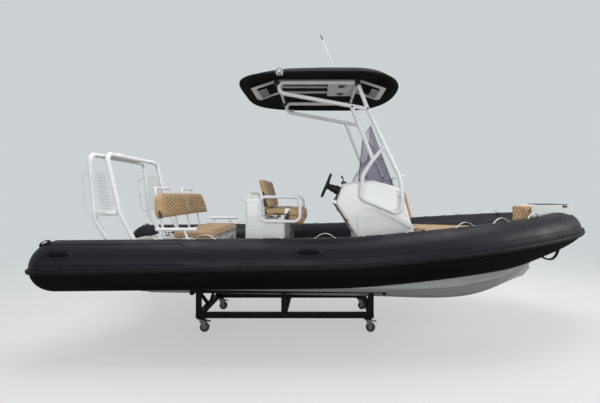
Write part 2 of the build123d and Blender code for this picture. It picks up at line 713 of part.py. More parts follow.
inner_rail_z = canopy_top_z - canopy_t - seat_gap - rail_d / 2
rail_line = [(inner_rail_x[0], inner_rail_end_z), (inner_rail_x[1], inner_rail_z),
             (inner_rail_x[2], inner_rail_z), (inner_rail_x[3], inner_rail_end_z)]
with BuildPart() as canopy_rails:
    for y in inner_rail_y:
        if y == 0:
            add(bent_tube(at_y(rail_line[1:3], y), None, rail_d))
        else:
            add(bent_tube(at_y(rail_line, y), inner_rail_r, rail_d))
        for x, z in frame_bar_x:
            add(bent_tube([(x, y, z), (x, y, inner_rail_z)], None, stub_d))
    for x, z in (rail_line[0], rail_line[3]):
        add(bar(x - tongue_w / 2, x + tongue_w / 2, inner_rail_y[0], inner_rail_y[-1], z - 8, z + 8))
    for x, z in rail_line[1:3]:
        add(bent_tube([(x, inner_rail_y[0], z), (x, inner_rail_y[-1], z)], None, stub_d))
    add(canopy_bars.part, mode=Mode.SUBTRACT)
finish(canopy_rails, "canopy_rails")

with BuildPart() as electronics_box:
    add(bar(box_x[0], box_x[1], -box_half, box_half, inner_rail_z - box_h, inner_rail_z))
    fillet(edges().filter_by(Axis.Z), 20)
    add(canopy_rails.part, mode=Mode.SUBTRACT)
finish(electronics_box, "electronics_box")

# ---- canopy ----------------------------------------------------------------------
def canopy_outline(points, radii, inset, z):
    # half of the outline is given; each corner has its own radius
    half = [(x - inset * (1 if x > 0 else -1), y + inset) for x, y in points]
    whole = half + [(x, -y) for x, y in reversed(half)]
    with BuildSketch(Plane.XY.offset(z)) as outline:
        Polygon(*whole, align=None)
        for (x, y), radius in zip(whole, radii + radii[::-1]):
            fillet(outline.vertices().sort_by_distance((x, y, z))[0], radius - inset)
    return outline.sketch


def canopy_body(drop, thin):
    lower = canopy_outline(canopy_rim, canopy_rim_r, thin, canopy_edge_z - drop)
    upper = canopy_outline(canopy_crown, canopy_crown_r, thin, canopy_top_z - thin)
    with BuildPart() as body:
        add(lower)
        add(upper)
        loft()
    return body.part


with BuildPart() as canopy:
    add(canopy_body(0, 0))
    add(canopy_body(0.5, canopy_t), mode=Mode.SUBTRACT)
finish(canopy, "canopy")

with BuildPart() as lamps:
    for side in (-1, 1):
        add(bar(lamp_x - lamp_w / 2, lamp_x + lamp_w / 2, side * (canopy_half - 40),
                side * (canopy_half + lamp_out),
                canopy_edge_z - lamp_h / 2, canopy_edge_z + lamp_h / 2))
    add(canopy_body(0, 0), mode=Mode.SUBTRACT)
finish(lamps, "canopy_lamps")

lean = math.radians(antenna_lean)
whip_0 = Vector(antenna_x, 0, canopy_top_z + antenna_foot_h)
with BuildPart() as antenna:
    with BuildSketch(Plane.XY.offset(canopy_top_z)):
        with Locations((antenna_x, 0)):
            Circle(antenna_foot_r)
    extrude(amount=antenna_foot_h, taper=12)
    with BuildSketch(Plane(origin=whip_0 - Vector(-math.sin(lean), 0, math.cos(lean)) * antenna_d,
                           z_dir=(-math.sin(lean), 0, math.cos(lean)))):
        Circle(antenna_d / 2)
    extrude(amount=antenna_len)
finish(antenna, "antenna")

# ---- helm seat -------------------------------------------------------------------
pod_side = [(pod_foot_x, deck_z), (pod_fwd_x, pod_fwd_z), (pod_fwd_x, pod_seat_z), (pod_seat_x, pod_seat_z),
            (pod_top_x, pod_top_z), (pod_aft_x, pod_top_z), (pod_aft_x, deck_z)]
pod_shell = hollow(pod_side, pod_half, pod_edge_r, deck_z)
with BuildPart() as pod:
    add(pod_shell)
    for side in (-1, 1):
        with BuildSketch(Plane.XZ.offset(-side * bolster_cheek_y)):
            Polygon((bolster_x0 - 120, pod_seat_z - 2), (bolster_x0 - 60, pod_seat_z - 2),
                    (bolster_x0 + 4, bolster_pin_z - 16),
                    (bolster_x0 + 26, bolster_pin_z - 12), (bolster_x0 + 26, bolster_pin_z + 16),
                    (bolster_x0 - 30, bolster_pin_z + 16), align=None)
            with Locations((bolster_pin_x, bolster_pin_z)):
                Circle(bolster_pin_r + seat_gap, mode=Mode.SUBTRACT)
        extrude(amount=-side * bolster_cheek_t)
finish(pod, "seat_pod")

lean_back = (pod_seat_x - pod_top_x) / (pod_top_z - pod_seat_z)
seat_z = pod_seat_z + seat_gap


def back_face(z):
    # the slope of the pod's upright, carried on up
    return pod_seat_x - lean_back * (z - pod_seat_z) + 2 * seat_gap


with BuildPart() as seat_cushion:
    with BuildSketch(Plane.XZ):
        Polygon((back_face(seat_z), seat_z), (seat_fwd_x, seat_z), (seat_fwd_x, seat_z + seat_t),
                (back_face(seat_z + seat_t), seat_z + seat_t), align=None)
    extrude(amount=seat_half, both=True)
finish(seat_cushion, "seat_cushion")

back_z0 = seat_z + seat_t + 2 * seat_gap
with BuildPart() as seat_back:
    with BuildSketch(Plane.XZ):
        Polygon((back_face(back_z0), back_z0), (back_face(back_z0) + seat_back_t, back_z0),
                (back_face(seat_back_top_z) + seat_back_t, seat_back_top_z),
                (back_face(seat_back_top_z), seat_back_top_z), align=None)
    extrude(amount=seat_half, both=True)
    mid_z = (seat_back_top_z + back_z0) / 2
    ends = edges().filter_by(lambda e: abs(e.center().Z - mid_z) > 150
                             and abs(abs(e.center().Y) - seat_half) < 1)
    fillet(ends, 40)
finish(seat_back, "seat_back")

with BuildPart() as bolster:
    add(bar(bolster_x0, bolster_x1, -seat_half, seat_half, bolster_z0, bolster_z1))
    fillet(edges().filter_by(Axis.Y).sort_by(Axis.X)[-2:], 60)
    for side in (-1, 1):
        with BuildSketch(Plane.XZ.offset(-side * (seat_half - 10))):
            with Locations((bolster_pin_x, bolster_pin_z)):
                Circle(bolster_pin_r)
        extrude(amount=-side * (bolster_cheek_y + bolster_cheek_t - seat_half + 10))
finish(bolster, "bolster")

with BuildPart() as pod_rail:
    add(bent_tube([(pod_rail_x, -pod_rail_half, pod_top_z), (pod_rail_x, -pod_rail_half, pod_rail_z),
                   (pod_rail_x, pod_rail_half, pod_rail_z), (pod_rail_x, pod_rail_half, pod_top_z)],
                  [pod_rail_bend, pod_rail_bend], pod_rail_d))
finish(pod_rail, "pod_rail")

arm_pieces = []
for side in (-1, 1):
    y = side * arm_y
    half_x = (arm_x0 + arm_x1) / 2
    ring = [(half_x, arm_z0), (arm_x1, arm_z0), (arm_x1, arm_z1), (arm_x0, arm_z1), (arm_x0, arm_z0),
            (half_x, arm_z0)]
    arm_pieces.append(bent_tube(at_y(ring[:4] + [(arm_x0, (arm_z0 + arm_z1) / 2)], y), [arm_r] * 3, arm_d))
    arm_pieces.append(bent_tube(at_y([(arm_x0, (arm_z0 + arm_z1) / 2), (arm_x0, arm_z0), (half_x, arm_z0)],
                                     y), [arm_r], arm_d))
    for x in arm_stub_x:
        arm_pieces.append(bent_tube([(x, y, arm_z0), (x, side * pod_half, arm_z0)], None, arm_stub_d))
with BuildPart() as armrests:
    for piece in arm_pieces:
        add(piece)
finish(armrests, "armrests")

# ---- stern bench -----------------------------------------------------------------
with BuildPart() as bench_void:
    add(bar(aft_deck_fwd_x + wall, bench_fwd_x - wall, -bench_half + wall, bench_half - wall, deck_z,
            bench_z))
    fillet(edges().filter_by(Axis.Z).sort_by(Axis.X)[-2:], bench_corner_r - wall)
with BuildPart() as bench:
    add(bar(aft_deck_fwd_x, bench_fwd_x, -bench_half, bench_half, deck_z, bench_z))
    fillet(edges().filter_by(Axis.Z).sort_by(Axis.X)[-2:], bench_corner_r)
    add(bench_void.part, mode=Mode.SUBTRACT)
finish(bench, "bench_locker")

lid_z = bench_z + seat_gap
lid_aft = bench_pin_x
with BuildPart() as bench_lid:
    add(bar(lid_aft, bench_fwd_x, -bench_half, bench_half, lid_z, lid_z + bench_lid_t))
    fillet(edges().filter_by(Axis.Z).sort_by(Axis.X)[-2:], bench_corner_r)
    with BuildSketch(Plane.XZ.offset(-bench_half + 100)):
        with Locations((bench_pin_x, lid_z + hinge_r)):
            Circle(hinge_r)
    extrude(amount=2 * bench_half - 200)
finish(bench_lid, "bench_lid")

pad_z = lid_z + bench_lid_t + seat_gap
with BuildPart() as bench_cushion:
    with BuildSketch(Plane.XZ):
        Polygon((lid_aft + 12, pad_z), (bench_fwd_x + 30, pad_z), (bench_fwd_x - 18, pad_z + bench_pad_t),
                (lid_aft + 12, pad_z + bench_pad_t), align=None)
    extrude(amount=bench_half, both=True)
finish(bench_cushion, "bench_cushion")

bench_lean = (back_low_x - back_top_x) / (back_top_z - back_low_z)
bench_tilt = math.atan(bench_lean)
back_plane = Plane(origin=(back_low_x, 0, back_low_z), x_dir=(0, 1, 0),
                   z_dir=(math.cos(bench_tilt), 0, math.sin(bench_tilt)))
back_h = (back_top_z - back_low_z) / math.cos(bench_tilt)
with BuildPart() as bench_back:
    with BuildSketch(back_plane):
        Polygon((-back_low_half, back_corner_h), (-back_low_half + 40, 0), (back_low_half - 40, 0),
                (back_low_half, back_corner_h), (back_mid_half, back_h - 60), (back_top_half, back_h),
                (-back_top_half, back_h), (-back_mid_half, back_h - 60), align=None)
    extrude(amount=-back_t)
finish(bench_back, "bench_back")


def hoop_x(z):
    # the hoops run up behind the backrest, parallel to it
    return back_low_x - bench_lean * (z - back_low_z) - (back_t + hoop_d / 2 + seat_gap) / math.cos(bench_tilt)


with BuildPart() as bench_hoops:
    for side in (-1, 1):
        add(bent_tube([(hoop_x(aft_deck_z), side * hoop_in_y, aft_deck_z),
                       (hoop_x(hoop_top_z), side * hoop_in_y, hoop_top_z),
                       (hoop_x(hoop_top_z), side * hoop_out_y, hoop_top_z),
                                                                             (hoop_x(aft_deck_z),
                                                                              side * hoop_out_y,
                                                                              aft_deck_z)],
                      [hoop_bend, hoop_bend], hoop_d))
    for side in (-1, 1):
        for y in (hoop_in_y, hoop_out_y):
            add(bar(hoop_x(aft_deck_z) - 35, hoop_x(aft_deck_z) + 25, side * y - 35, side * y + 35,
                    aft_deck_z, aft_deck_z + 6))
    add(aft_deck.part, mode=Mode.SUBTRACT)
finish(bench_hoops, "bench_hoops")

with BuildPart() as side_rails:
    for side in (-1, 1):
        y = side * side_rail_y
        add(bent_tube(at_y([(side_rail_x[0], side_rail_z), (side_rail_x[1], side_rail_z)], y), None,
                      side_rail_d))
        for x, toe in zip(side_rail_leg_x, (-40, 40)):
            add(bent_tube([(x, y, side_rail_z), (x + toe, y, axis_aft_z + tube_r)], None, side_rail_d * 0.7))
            add(bar(x + toe - 45, x + toe + 45, y - 30, y + 30, axis_aft_z + tube_r - 20,
                    axis_aft_z + tube_r + 22))
    add(tubes.part, mode=Mode.SUBTRACT)
finish(side_rails, "side_rails")

# ---- stern arch ------------------------------------------------------------------
def arch_foot(points):
    # the leg carried on down to the stern deck
    (x0, z0), (x1, z1) = points[0], points[1]
    return (x0 - (x1 - x0) * (z0 - aft_deck_z) / (z1 - z0), aft_deck_z)


with BuildPart() as arch_hoops:
    for points in (arch_fwd, arch_aft):
        foot = arch_foot(points)
        knee_p, top_p = points[1], points[2]
        route = at_y([foot, knee_p, top_p], -arch_y) + at_y([top_p, knee_p, foot], arch_y)
        add(bent_tube(route, [arch_knee_r, arch_corner_r, arch_corner_r, arch_knee_r], arch_d))
        for side in (-1, 1):
            add(bar(foot[0] - 60, foot[0] + 60, side * arch_y - 60, side * arch_y + 60, aft_deck_z,
                    aft_deck_z + 8))
    add(bar(min(aft_x for aft_x, _ in arch_aft), arch_fwd[2][0], -arch_plate_half, arch_plate_half,
            arch_fwd[2][1] - arch_plate_t, arch_fwd[2][1]))
    for side in (-1, 1):
        add(bent_tube(at_y(arch_handle, side * arch_y), arch_handle_r, arch_handle_d))
    add(aft_deck.part, mode=Mode.SUBTRACT)
    add(transom.part, mode=Mode.SUBTRACT)
finish(arch_hoops, "arch_hoops")


def leg_x(points, z):
    # the arch leg's centre at a height above its knee
    (x0, z0), (x1, z1) = points[1], points[2]
    return x0 + (x1 - x0) * (z - z0) / (z1 - z0)


panel_corners = [(leg_x(arch_aft, panel_z0), panel_z0), (leg_x(arch_fwd, panel_z0), panel_z0),
                 (leg_x(arch_fwd, panel_z1), panel_z1), (leg_x(arch_aft, panel_z1), panel_z1)]
with BuildPart() as arch_panels:
    for side in (-1, 1):
        with BuildSketch(Plane.XZ.offset(-side * arch_y)):
            Polygon(*panel_corners, align=None)
            for i in range(slot_count):
                z = panel_z0 + 90 + i * slot_pitch
                with Locations(((leg_x(arch_aft, z) + leg_x(arch_fwd, z)) / 2, z)):
                    SlotOverall(slot_w, slot_h, mode=Mode.SUBTRACT)
        extrude(amount=panel_t / 2, both=True)
    add(arch_hoops.part, mode=Mode.SUBTRACT)
finish(arch_panels, "arch_panels")

with BuildPart() as arch_lamp:
    with BuildSketch(Plane.XY.offset(arch_fwd[2][1])):
        with Locations(((arch_fwd[2][0] + arch_aft[2][0]) / 2, arch_lamp_y)):
            Circle(arch_lamp_r)
    extrude(amount=arch_lamp_h)
    fillet(edges().sort_by(Axis.Z)[-1], 15)
finish(arch_lamp, "arch_lamp")

# ---- grab lines and bow handle ---------------------------------------------------
def side_frame(x):
    # centre of the collar, and its heading, at a fore-and-aft place on the starboard side
    if x < tube_bend_x:
        return Vector(x, -tube_y, axis_aft_z + (x - tube_aft_x) * math.tan(q)), 0.0
    if x < tube_turn_x:
        a = math.asin(math.sin(q) + (x - tube_bend_x) / rise_r)
        return Vector(x, -tube_y, rise_c.Z - rise_r * math.cos(a)), 0.0
    a = math.asin(min((x - tube_turn_x) / math.cos(p) / turn_1_r, math.sin(a1)))
    spot = turn_0 + along * (turn_1_r * math.sin(a)) + port * (turn_1_r * (1 - math.cos(a)))
    return spot, a


with BuildPart() as grab_straps:
    for x in strap_x:
        spot, a = side_frame(x)
        run = along * math.cos(a) + port * math.sin(a) if x > tube_turn_x else Vector(1, 0, 0)
        crown = spot + Vector(0, 0, tube_r)
        with BuildLine() as route:
            ThreePointArc(crown - run * (strap_span / 2) - Vector(0, 0, 12),
                          crown + Vector(0, 0, strap_rise),
                          crown + run * (strap_span / 2) - Vector(0, 0, 12))
        with BuildSketch(Plane(origin=route.line @ 0, z_dir=route.line % 0)):
            Circle(strap_d / 2)
        sweep(path=route.line)
    mirror(about=Plane.XZ)
    add(tubes.part, mode=Mode.SUBTRACT)
finish(grab_straps, "grab_straps")

# ---- cradle ----------------------------------------------------------------------
with BuildPart() as cradle:
    for side in (-1, 1):
        y = side * cradle_y
        add(bar(cradle_aft_x, cradle_fwd_x, y - rail_w / 2, y + rail_w / 2, rail_top_z - rail_h, rail_top_z))
        add(bar(leg_x_list[0] - leg_w / 2, leg_x_list[-1] + leg_w / 2, y - leg_w / 2, y + leg_w / 2,
                sill_z0, sill_z1))
        for x in leg_x_list:
            add(bar(x - leg_w / 2, x + leg_w / 2, y - leg_w / 2 + 4, y + leg_w / 2 - 4, sill_z1,
                    rail_top_z - rail_h))
        for x in (cradle_aft_x, cradle_fwd_x - 40):
            add(bar(x, x + 40, y - rail_w / 2, y + rail_w / 2, rail_top_z - rail_h - 22,
                    rail_top_z - rail_h))
    for x in leg_x_list:
        add(bar(x - leg_w / 2, x + leg_w / 2, -cradle_y, cradle_y, sill_z0, sill_z1))
        for side in (-1, 1):
            with BuildSketch(Plane(origin=(x, 0, 0), x_dir=(0, 1, 0), z_dir=(1, 0, 0))):
                Polygon((side * 10, sill_z1 - 20), (side * 70, sill_z1 - 20),
                        (side * (cradle_y - 10), rail_top_z - rail_h - 4),
                        (side * (cradle_y - 60), rail_top_z - rail_h - 4), align=None)
            extrude(amount=brace_t / 2, both=True)
    for x in caster_x:
        for side in (-1, 1):
            add(bar(x - fork_plate / 2, x + fork_plate / 2, side * cradle_y - fork_plate / 2,
                    side * cradle_y + fork_plate / 2,
                    sill_z0 - fork_top_t, sill_z0))
    add(hull.part, mode=Mode.SUBTRACT)
finish(cradle, "cradle")

head_z = sill_z0 - fork_top_t - seat_gap
crown_z = head_z - swivel_h
for end, x in zip(("aft", "fwd"), caster_x):
    for hand, side in (("starboard", -1), ("port", 1)):
        y = side * cradle_y
        with BuildPart() as fork:
            with BuildSketch(Plane.XY.offset(crown_z)):
                with Locations((x, y)):
                    Circle(swivel_r)
            extrude(amount=swivel_h)
            add(bar(x - swivel_r, x + caster_trail + 20, y - wheel_w / 2 - fork_gap - fork_t,
                    y + wheel_w / 2 + fork_gap + fork_t,
                    crown_z - 6, crown_z))
            for cheek in (-1, 1):
                with BuildSketch(Plane.XZ.offset(-y - cheek * (wheel_w / 2 + fork_gap))):
                    Polygon((x - swivel_r, crown_z), (x + caster_trail + 20, crown_z),
                            (x + caster_trail + 16, wheel_r - 8),
                            (x + caster_trail - 16, wheel_r - 8), align=None)
                extrude(amount=-cheek * fork_t)
            with BuildSketch(Plane.XZ.offset(-y + wheel_w / 2 + fork_gap + fork_t)):
                with Locations((x + caster_trail, wheel_r)):
                    Circle(axle_r)
            extrude(amount=-(wheel_w + 2 * fork_gap + 2 * fork_t))
        finish(fork, "caster_fork_" + end + "_" + hand)
        with BuildPart() as wheel:
            with BuildSketch(Plane.XZ.offset(-y)):
                with Locations((x + caster_trail, wheel_r)):
                    Circle(wheel_r)
                    Circle(axle_r + seat_gap, mode=Mode.SUBTRACT)
            extrude(amount=wheel_w / 2, both=True)
            fillet(edges().filter_by(GeomType.CIRCLE).sort_by(SortBy.RADIUS)[-2:], 8)
        finish(wheel, "caster_wheel_" + end + "_" + hand)
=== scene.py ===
import bpy, bmesh, json, math
from mathutils.bvhtree import BVHTree
from mathutils import Vector, Matrix, noise


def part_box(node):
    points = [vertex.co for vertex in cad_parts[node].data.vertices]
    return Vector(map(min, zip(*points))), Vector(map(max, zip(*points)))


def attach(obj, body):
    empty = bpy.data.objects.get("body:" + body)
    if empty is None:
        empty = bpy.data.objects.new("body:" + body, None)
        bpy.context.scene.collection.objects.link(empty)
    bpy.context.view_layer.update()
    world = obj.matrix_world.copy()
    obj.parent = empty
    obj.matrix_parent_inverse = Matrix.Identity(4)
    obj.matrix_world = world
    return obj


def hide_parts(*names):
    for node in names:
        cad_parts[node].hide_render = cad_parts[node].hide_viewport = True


toBow, toPort, toSky = Vector((1, 0, 0)), Vector((0, 1, 0)), Vector((0, 0, 1))
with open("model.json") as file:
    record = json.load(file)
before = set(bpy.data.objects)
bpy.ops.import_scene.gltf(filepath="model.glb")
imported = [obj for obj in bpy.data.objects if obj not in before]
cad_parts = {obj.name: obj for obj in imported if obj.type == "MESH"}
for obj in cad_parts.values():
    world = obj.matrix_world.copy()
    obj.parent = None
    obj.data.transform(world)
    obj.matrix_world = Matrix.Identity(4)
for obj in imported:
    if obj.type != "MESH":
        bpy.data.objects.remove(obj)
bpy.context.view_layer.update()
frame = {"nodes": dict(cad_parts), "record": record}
nodes = frame["nodes"]
scene = bpy.context.scene
print("frame loaded")

view = {"place": (-0.236, -4.78, 1.65), "lens": 21.6, "shiftX": -0.0308, "shiftY": -0.0108}
cam = bpy.data.cameras.new("boatCamera")
cam.sensor_width = 36
cam.lens = view["lens"]
cam.shift_x = view["shiftX"]
cam.shift_y = view["shiftY"]
cam.clip_end = 200
camObject = bpy.data.objects.new("boatCamera", cam)
camObject.location = view["place"]
camObject.rotation_euler = (math.radians(90), 0, 0)
scene.collection.objects.link(camObject)
scene.camera = camObject

room = {"sky": (0.60, 0.638, 0.645), "skyStrength": 1.0, "floor": (0.30, 0.31, 0.31), "floorShown": 0.445,
        "floorGlow": 0.06, "floorBounce": 0.13, "top": 265.0, "starboard": 315.0, "port": 60.0,
        "bow": 205.0, "fadeFrom": 3.5, "fadeTo": 9.0, "fillUp": 0.80, "fillDown": 0.30}
world = bpy.data.worlds.new("studio")
world.use_nodes = True
world.node_tree.nodes["Background"].inputs["Color"].default_value = (*room["sky"], 1)
backdrop = world.node_tree.nodes["Background"]
backdrop.inputs["Strength"].default_value = room["skyStrength"]
# what lights the boat is dimmer than the backdrop itself, and darker from below
fill = world.node_tree.nodes.new("ShaderNodeBackground")
fill.inputs["Color"].default_value = (*room["sky"], 1)
direct = world.node_tree.nodes.new("ShaderNodeLightPath")
heading = world.node_tree.nodes.new("ShaderNodeNewGeometry")
parts = world.node_tree.nodes.new("ShaderNodeSeparateXYZ")
ramp = world.node_tree.nodes.new("ShaderNodeMapRange")
for key, number in (("From Min", -0.3), ("From Max", 0.9), ("To Min", room["fillUp"]),
                    ("To Max", room["fillDown"])):
    ramp.inputs[key].default_value = number
either = world.node_tree.nodes.new("ShaderNodeMixShader")
for one, two in ((heading.outputs["Incoming"], parts.inputs[0]), (parts.outputs["Z"], ramp.inputs["Value"]),
                 (ramp.outputs["Result"], fill.inputs["Strength"]),
                 (direct.outputs["Is Camera Ray"], either.inputs[0]),
                 (fill.outputs[0], either.inputs[1]), (backdrop.outputs[0], either.inputs[2]),
                 (either.outputs[0], world.node_tree.nodes["World Output"].inputs["Surface"])):
    world.node_tree.links.new(one, two)
scene.world = world
scene.view_settings.view_transform = "Standard"


def softLight(name, place, aim, width, depth, power):
    lamp = bpy.data.lights.new(name, "AREA")
    lamp.shape = "RECTANGLE"
    lamp.size = width
    lamp.size_y = depth
    lamp.energy = power
    box = bpy.data.objects.new(name, lamp)
    box.location = place
    box.rotation_euler = (Vector(aim) - Vector(place)).to_track_quat("-Z", "Y").to_euler()
    box.visible_camera = False
    box.visible_transmission = False
    scene.collection.objects.link(box)


softLight("ceilingSoftbox", (0, 0, 5.6), (0, 0, 0), 8.5, 3.2, room["top"])
softLight("starboardSoftbox", (-1.0, -9.0, 2.4), (0, 0, 1.0), 9.0, 3.0, room["starboard"])
softLight("portSoftbox", (1.0, 9.0, 3.0), (0, 0, 1.0), 9.0, 3.0, room["port"])
softLight("bowSoftbox", (8.0, -1.5, 4.2), (-0.5, 0, 1.4), 4.0, 2.5, room["bow"])


slotOf, finishOf = {}, {}


def newFinish(name, slotName, color, roughness, metallic=0.0, coat=0.0, coatRough=0.1, sheen=0.0,
              specular=0.5):
    # the first finish made for a slot is the one its CAD nodes get
    mat = bpy.data.materials.new(name)
    slotOf[mat.name] = slotName
    finishOf.setdefault(slotName, mat)
    mat.use_nodes = True
    shader = mat.node_tree.nodes["Principled BSDF"]
    shader.inputs["Base Color"].default_value = (*color, 1)
    shader.inputs["Roughness"].default_value = roughness
    shader.inputs["Metallic"].default_value = metallic
    shader.inputs["Coat Weight"].default_value = coat
    shader.inputs["Coat Roughness"].default_value = coatRough
    shader.inputs["Sheen Weight"].default_value = sheen
    shader.inputs["Specular IOR Level"].default_value = specular
    return mat


def coords(mat, scale=(1, 1, 1), turn=(0, 0, 0), kind="Object"):
    tree = mat.node_tree
    tex = tree.nodes.new("ShaderNodeTexCoord")
    mapping = tree.nodes.new("ShaderNodeMapping")
    mapping.inputs["Scale"].default_value = scale
    mapping.inputs["Rotation"].default_value = turn
    tree.links.new(tex.outputs[kind], mapping.inputs["Vector"])
    return mapping.outputs["Vector"]


def noiseValue(mat, scale, detail=3.0, stretch=(1, 1, 1)):
    tex = mat.node_tree.nodes.new("ShaderNodeTexNoise")
    tex.inputs["Scale"].default_value = scale
    tex.inputs["Detail"].default_value = detail
    mat.node_tree.links.new(coords(mat, stretch), tex.inputs["Vector"])
    return tex.outputs["Fac"]


def cellValue(mat, scale, feature="F1"):
    tex = mat.node_tree.nodes.new("ShaderNodeTexVoronoi")
    tex.feature = feature
    tex.inputs["Scale"].default_value = scale
    mat.node_tree.links.new(coords(mat), tex.inputs["Vector"])
    return tex.outputs["Distance"]


def waveValue(mat, scale, axis="X", turn=(0, 0, 0), profile="SIN"):
    tex = mat.node_tree.nodes.new("ShaderNodeTexWave")
    tex.bands_direction = axis
    tex.wave_profile = profile
    tex.inputs["Scale"].default_value = scale
    mat.node_tree.links.new(coords(mat, turn=turn), tex.inputs["Vector"])
    return tex.outputs["Fac"]


def spread(mat, value, low, high, start=0.3, stop=0.7):
    node = mat.node_tree.nodes.new("ShaderNodeMapRange")
    for name, number in (("From Min", start), ("From Max", stop), ("To Min", low), ("To Max", high)):
        node.inputs[name].default_value = number
    mat.node_tree.links.new(value, node.inputs["Value"])
    return node.outputs["Result"]


def twoTone(mat, value, first, second, start=0.35, stop=0.65):
    # colour drifts between two tones; a later call keeps what is there as its first tone
    tree = mat.node_tree
    shader = tree.nodes["Principled BSDF"]
    mix = tree.nodes.new("ShaderNodeMix")
    mix.data_type = "RGBA"
    mix.inputs[6].default_value = (*first, 1)
    mix.inputs[7].default_value = (*second, 1)
    socket = shader.inputs["Base Color"]
    if socket.is_linked:
        tree.links.new(socket.links[0].from_socket, mix.inputs[6])
    tree.links.new(spread(mat, value, 0, 1, start, stop), mix.inputs[0])
    tree.links.new(mix.outputs[2], socket)


def roughness(mat, value, low, high):
    mat.node_tree.links.new(spread(mat, value, low, high),
                            mat.node_tree.nodes["Principled BSDF"].inputs["Roughness"])


def relief(mat, value, distance, strength=1.0):
    tree = mat.node_tree
    shader = tree.nodes["Principled BSDF"]
    bump = tree.nodes.new("ShaderNodeBump")
    bump.inputs["Distance"].default_value = distance
    bump.inputs["Strength"].default_value = strength
    tree.links.new(value, bump.inputs["Height"])
    if shader.inputs["Normal"].is_linked:
        tree.links.new(shader.inputs["Normal"].links[0].from_socket, bump.inputs["Normal"])
    tree.links.new(bump.outputs["Normal"], shader.inputs["Normal"])


def makeFinish(name, slotName, first, second, blotch, rough, polish=None, grain=(), span=(0.35, 0.65),
               **look):
    # blotch: noise scale and detail; polish: the same, then the least and most roughness;
    # grain: scale, detail, depth and strength of each fine relief; span: where the tones change
    mat = newFinish(name, slotName, first, rough, **look)
    twoTone(mat, noiseValue(mat, *blotch), first, second, *span)
    if polish:
        roughness(mat, noiseValue(mat, *polish[:2]), *polish[2:])
    for scale, detail, depth, strength in grain:
        relief(mat, noiseValue(mat, scale, detail), depth, strength)
    return mat


tan = (0.50, 0.332, 0.180)
weave = (1400, 2, 0.0004, 0.35)
collarFabric = makeFinish("collarFabric", "collar_fabric", (0.0056, 0.0060, 0.0092),
                          (0.0078, 0.0083, 0.0124), (2.2, 5), 0.5, (5.0, 6, 0.40, 0.58),
                          (weave, (9, 3, 0.004, 0.25)), specular=0.22)
# a darker copy of the collar cloth for the tubes' lower half: painted shade on the underside
collarUnderPaintedShade = makeFinish("collarUnderPaintedShade", "collar_fabric", (0.0036, 0.0037, 0.0044), (0.0052, 0.0054, 0.0062),
                         (2.2, 5), 0.6, grain=(weave,), specular=0.06)
ribbedRubber = makeFinish("ribbedRubber", "strake_rubber", (0.0031, 0.0031, 0.0042), (0.0075, 0.0076, 0.009),
                          (12, 6), 0.52, (30, 4, 0.42, 0.65), ((700, 2, 0.0005, 0.3),), specular=0.2)
blackRubber = makeFinish("blackRubber", "strake_rubber", (0.0022, 0.0022, 0.0026), (0.0045, 0.0045, 0.005),
                         (20, 5), 0.45, (40, 4, 0.38, 0.6), specular=0.2)
hullPaint = makeFinish("hullPaint", "hull_paint", (0.49, 0.505, 0.51), (0.44, 0.455, 0.46), (2.5, 5), 0.38,
                       (8, 6, 0.30, 0.46), ((420, 2, 0.0003, 0.3), (3, 2, 0.01, 0.1)), coat=0.25,
                       coatRough=0.2)
gelcoat = makeFinish("gelcoat", "gelcoat_white", (0.80, 0.81, 0.80), (0.775, 0.785, 0.78), (1.8, 3), 0.28,
                     (6, 2, 0.25, 0.30), ((38, 2, 0.0005, 0.12),), coat=0.5, coatRough=0.06)
nonSlip = makeFinish("nonSlip", "deck_grey", (0.56, 0.57, 0.57), (0.47, 0.48, 0.48), (4, 6), 0.7)
relief(nonSlip, cellValue(nonSlip, 260), 0.002, 0.8)
powderCoat = makeFinish("powderCoat", "frame_white", (0.82, 0.83, 0.84), (0.76, 0.77, 0.78), (5, 6), 0.36,
                        (20, 5, 0.28, 0.45), ((800, 2, 0.0003, 0.35),), coat=0.2, coatRough=0.15)

tanVinyl = makeFinish("tanVinyl", "seat_tan", tan, (0.40, 0.255, 0.13), (7, 6), 0.58, span=(0.35, 0.75),
                      specular=0.22)
twoTone(tanVinyl, cellValue(tanVinyl, 420, "DISTANCE_TO_EDGE"), tan, (0.48, 0.325, 0.18), 0.0, 0.5)
quiltShadeAndHighlight = tanVinyl.node_tree.nodes.new("ShaderNodeAttribute")
quiltShadeAndHighlight.attribute_name = "groove"
# painted shade darkens the stitched channels and seams, and a painted highlight lightens the puffed squares
# between them
twoTone(tanVinyl, quiltShadeAndHighlight.outputs["Fac"], tan, (0.17, 0.10, 0.045), 0.0, 1.1)
twoTone(tanVinyl, quiltShadeAndHighlight.outputs["Fac"], tan, (0.62, 0.44, 0.27), 0.0, -0.5)
roughness(tanVinyl, noiseValue(tanVinyl, 25, 5), 0.45, 0.66)
relief(tanVinyl, cellValue(tanVinyl, 420, "DISTANCE_TO_EDGE"), 0.0006, 0.5)

canvas = makeFinish("canvas", "canopy_fabric", (0.0130, 0.0137, 0.0156), (0.0185, 0.0194, 0.0220), (3, 6),
                    0.9, specular=0.15)
for axis in "XY":
    relief(canvas, waveValue(canvas, 320, axis), 0.0006, 0.6)

tintedScreen = newFinish("tintedScreen", "screen_tint", (0.66, 0.64, 0.72), 0.04, specular=0.2)
glassShader = tintedScreen.node_tree.nodes["Principled BSDF"]
glassShader.inputs["Transmission Weight"].default_value = 1.0
glassShader.inputs["IOR"].default_value = 1.12
roughness(tintedScreen, noiseValue(tintedScreen, 9, 6), 0.01, 0.06)

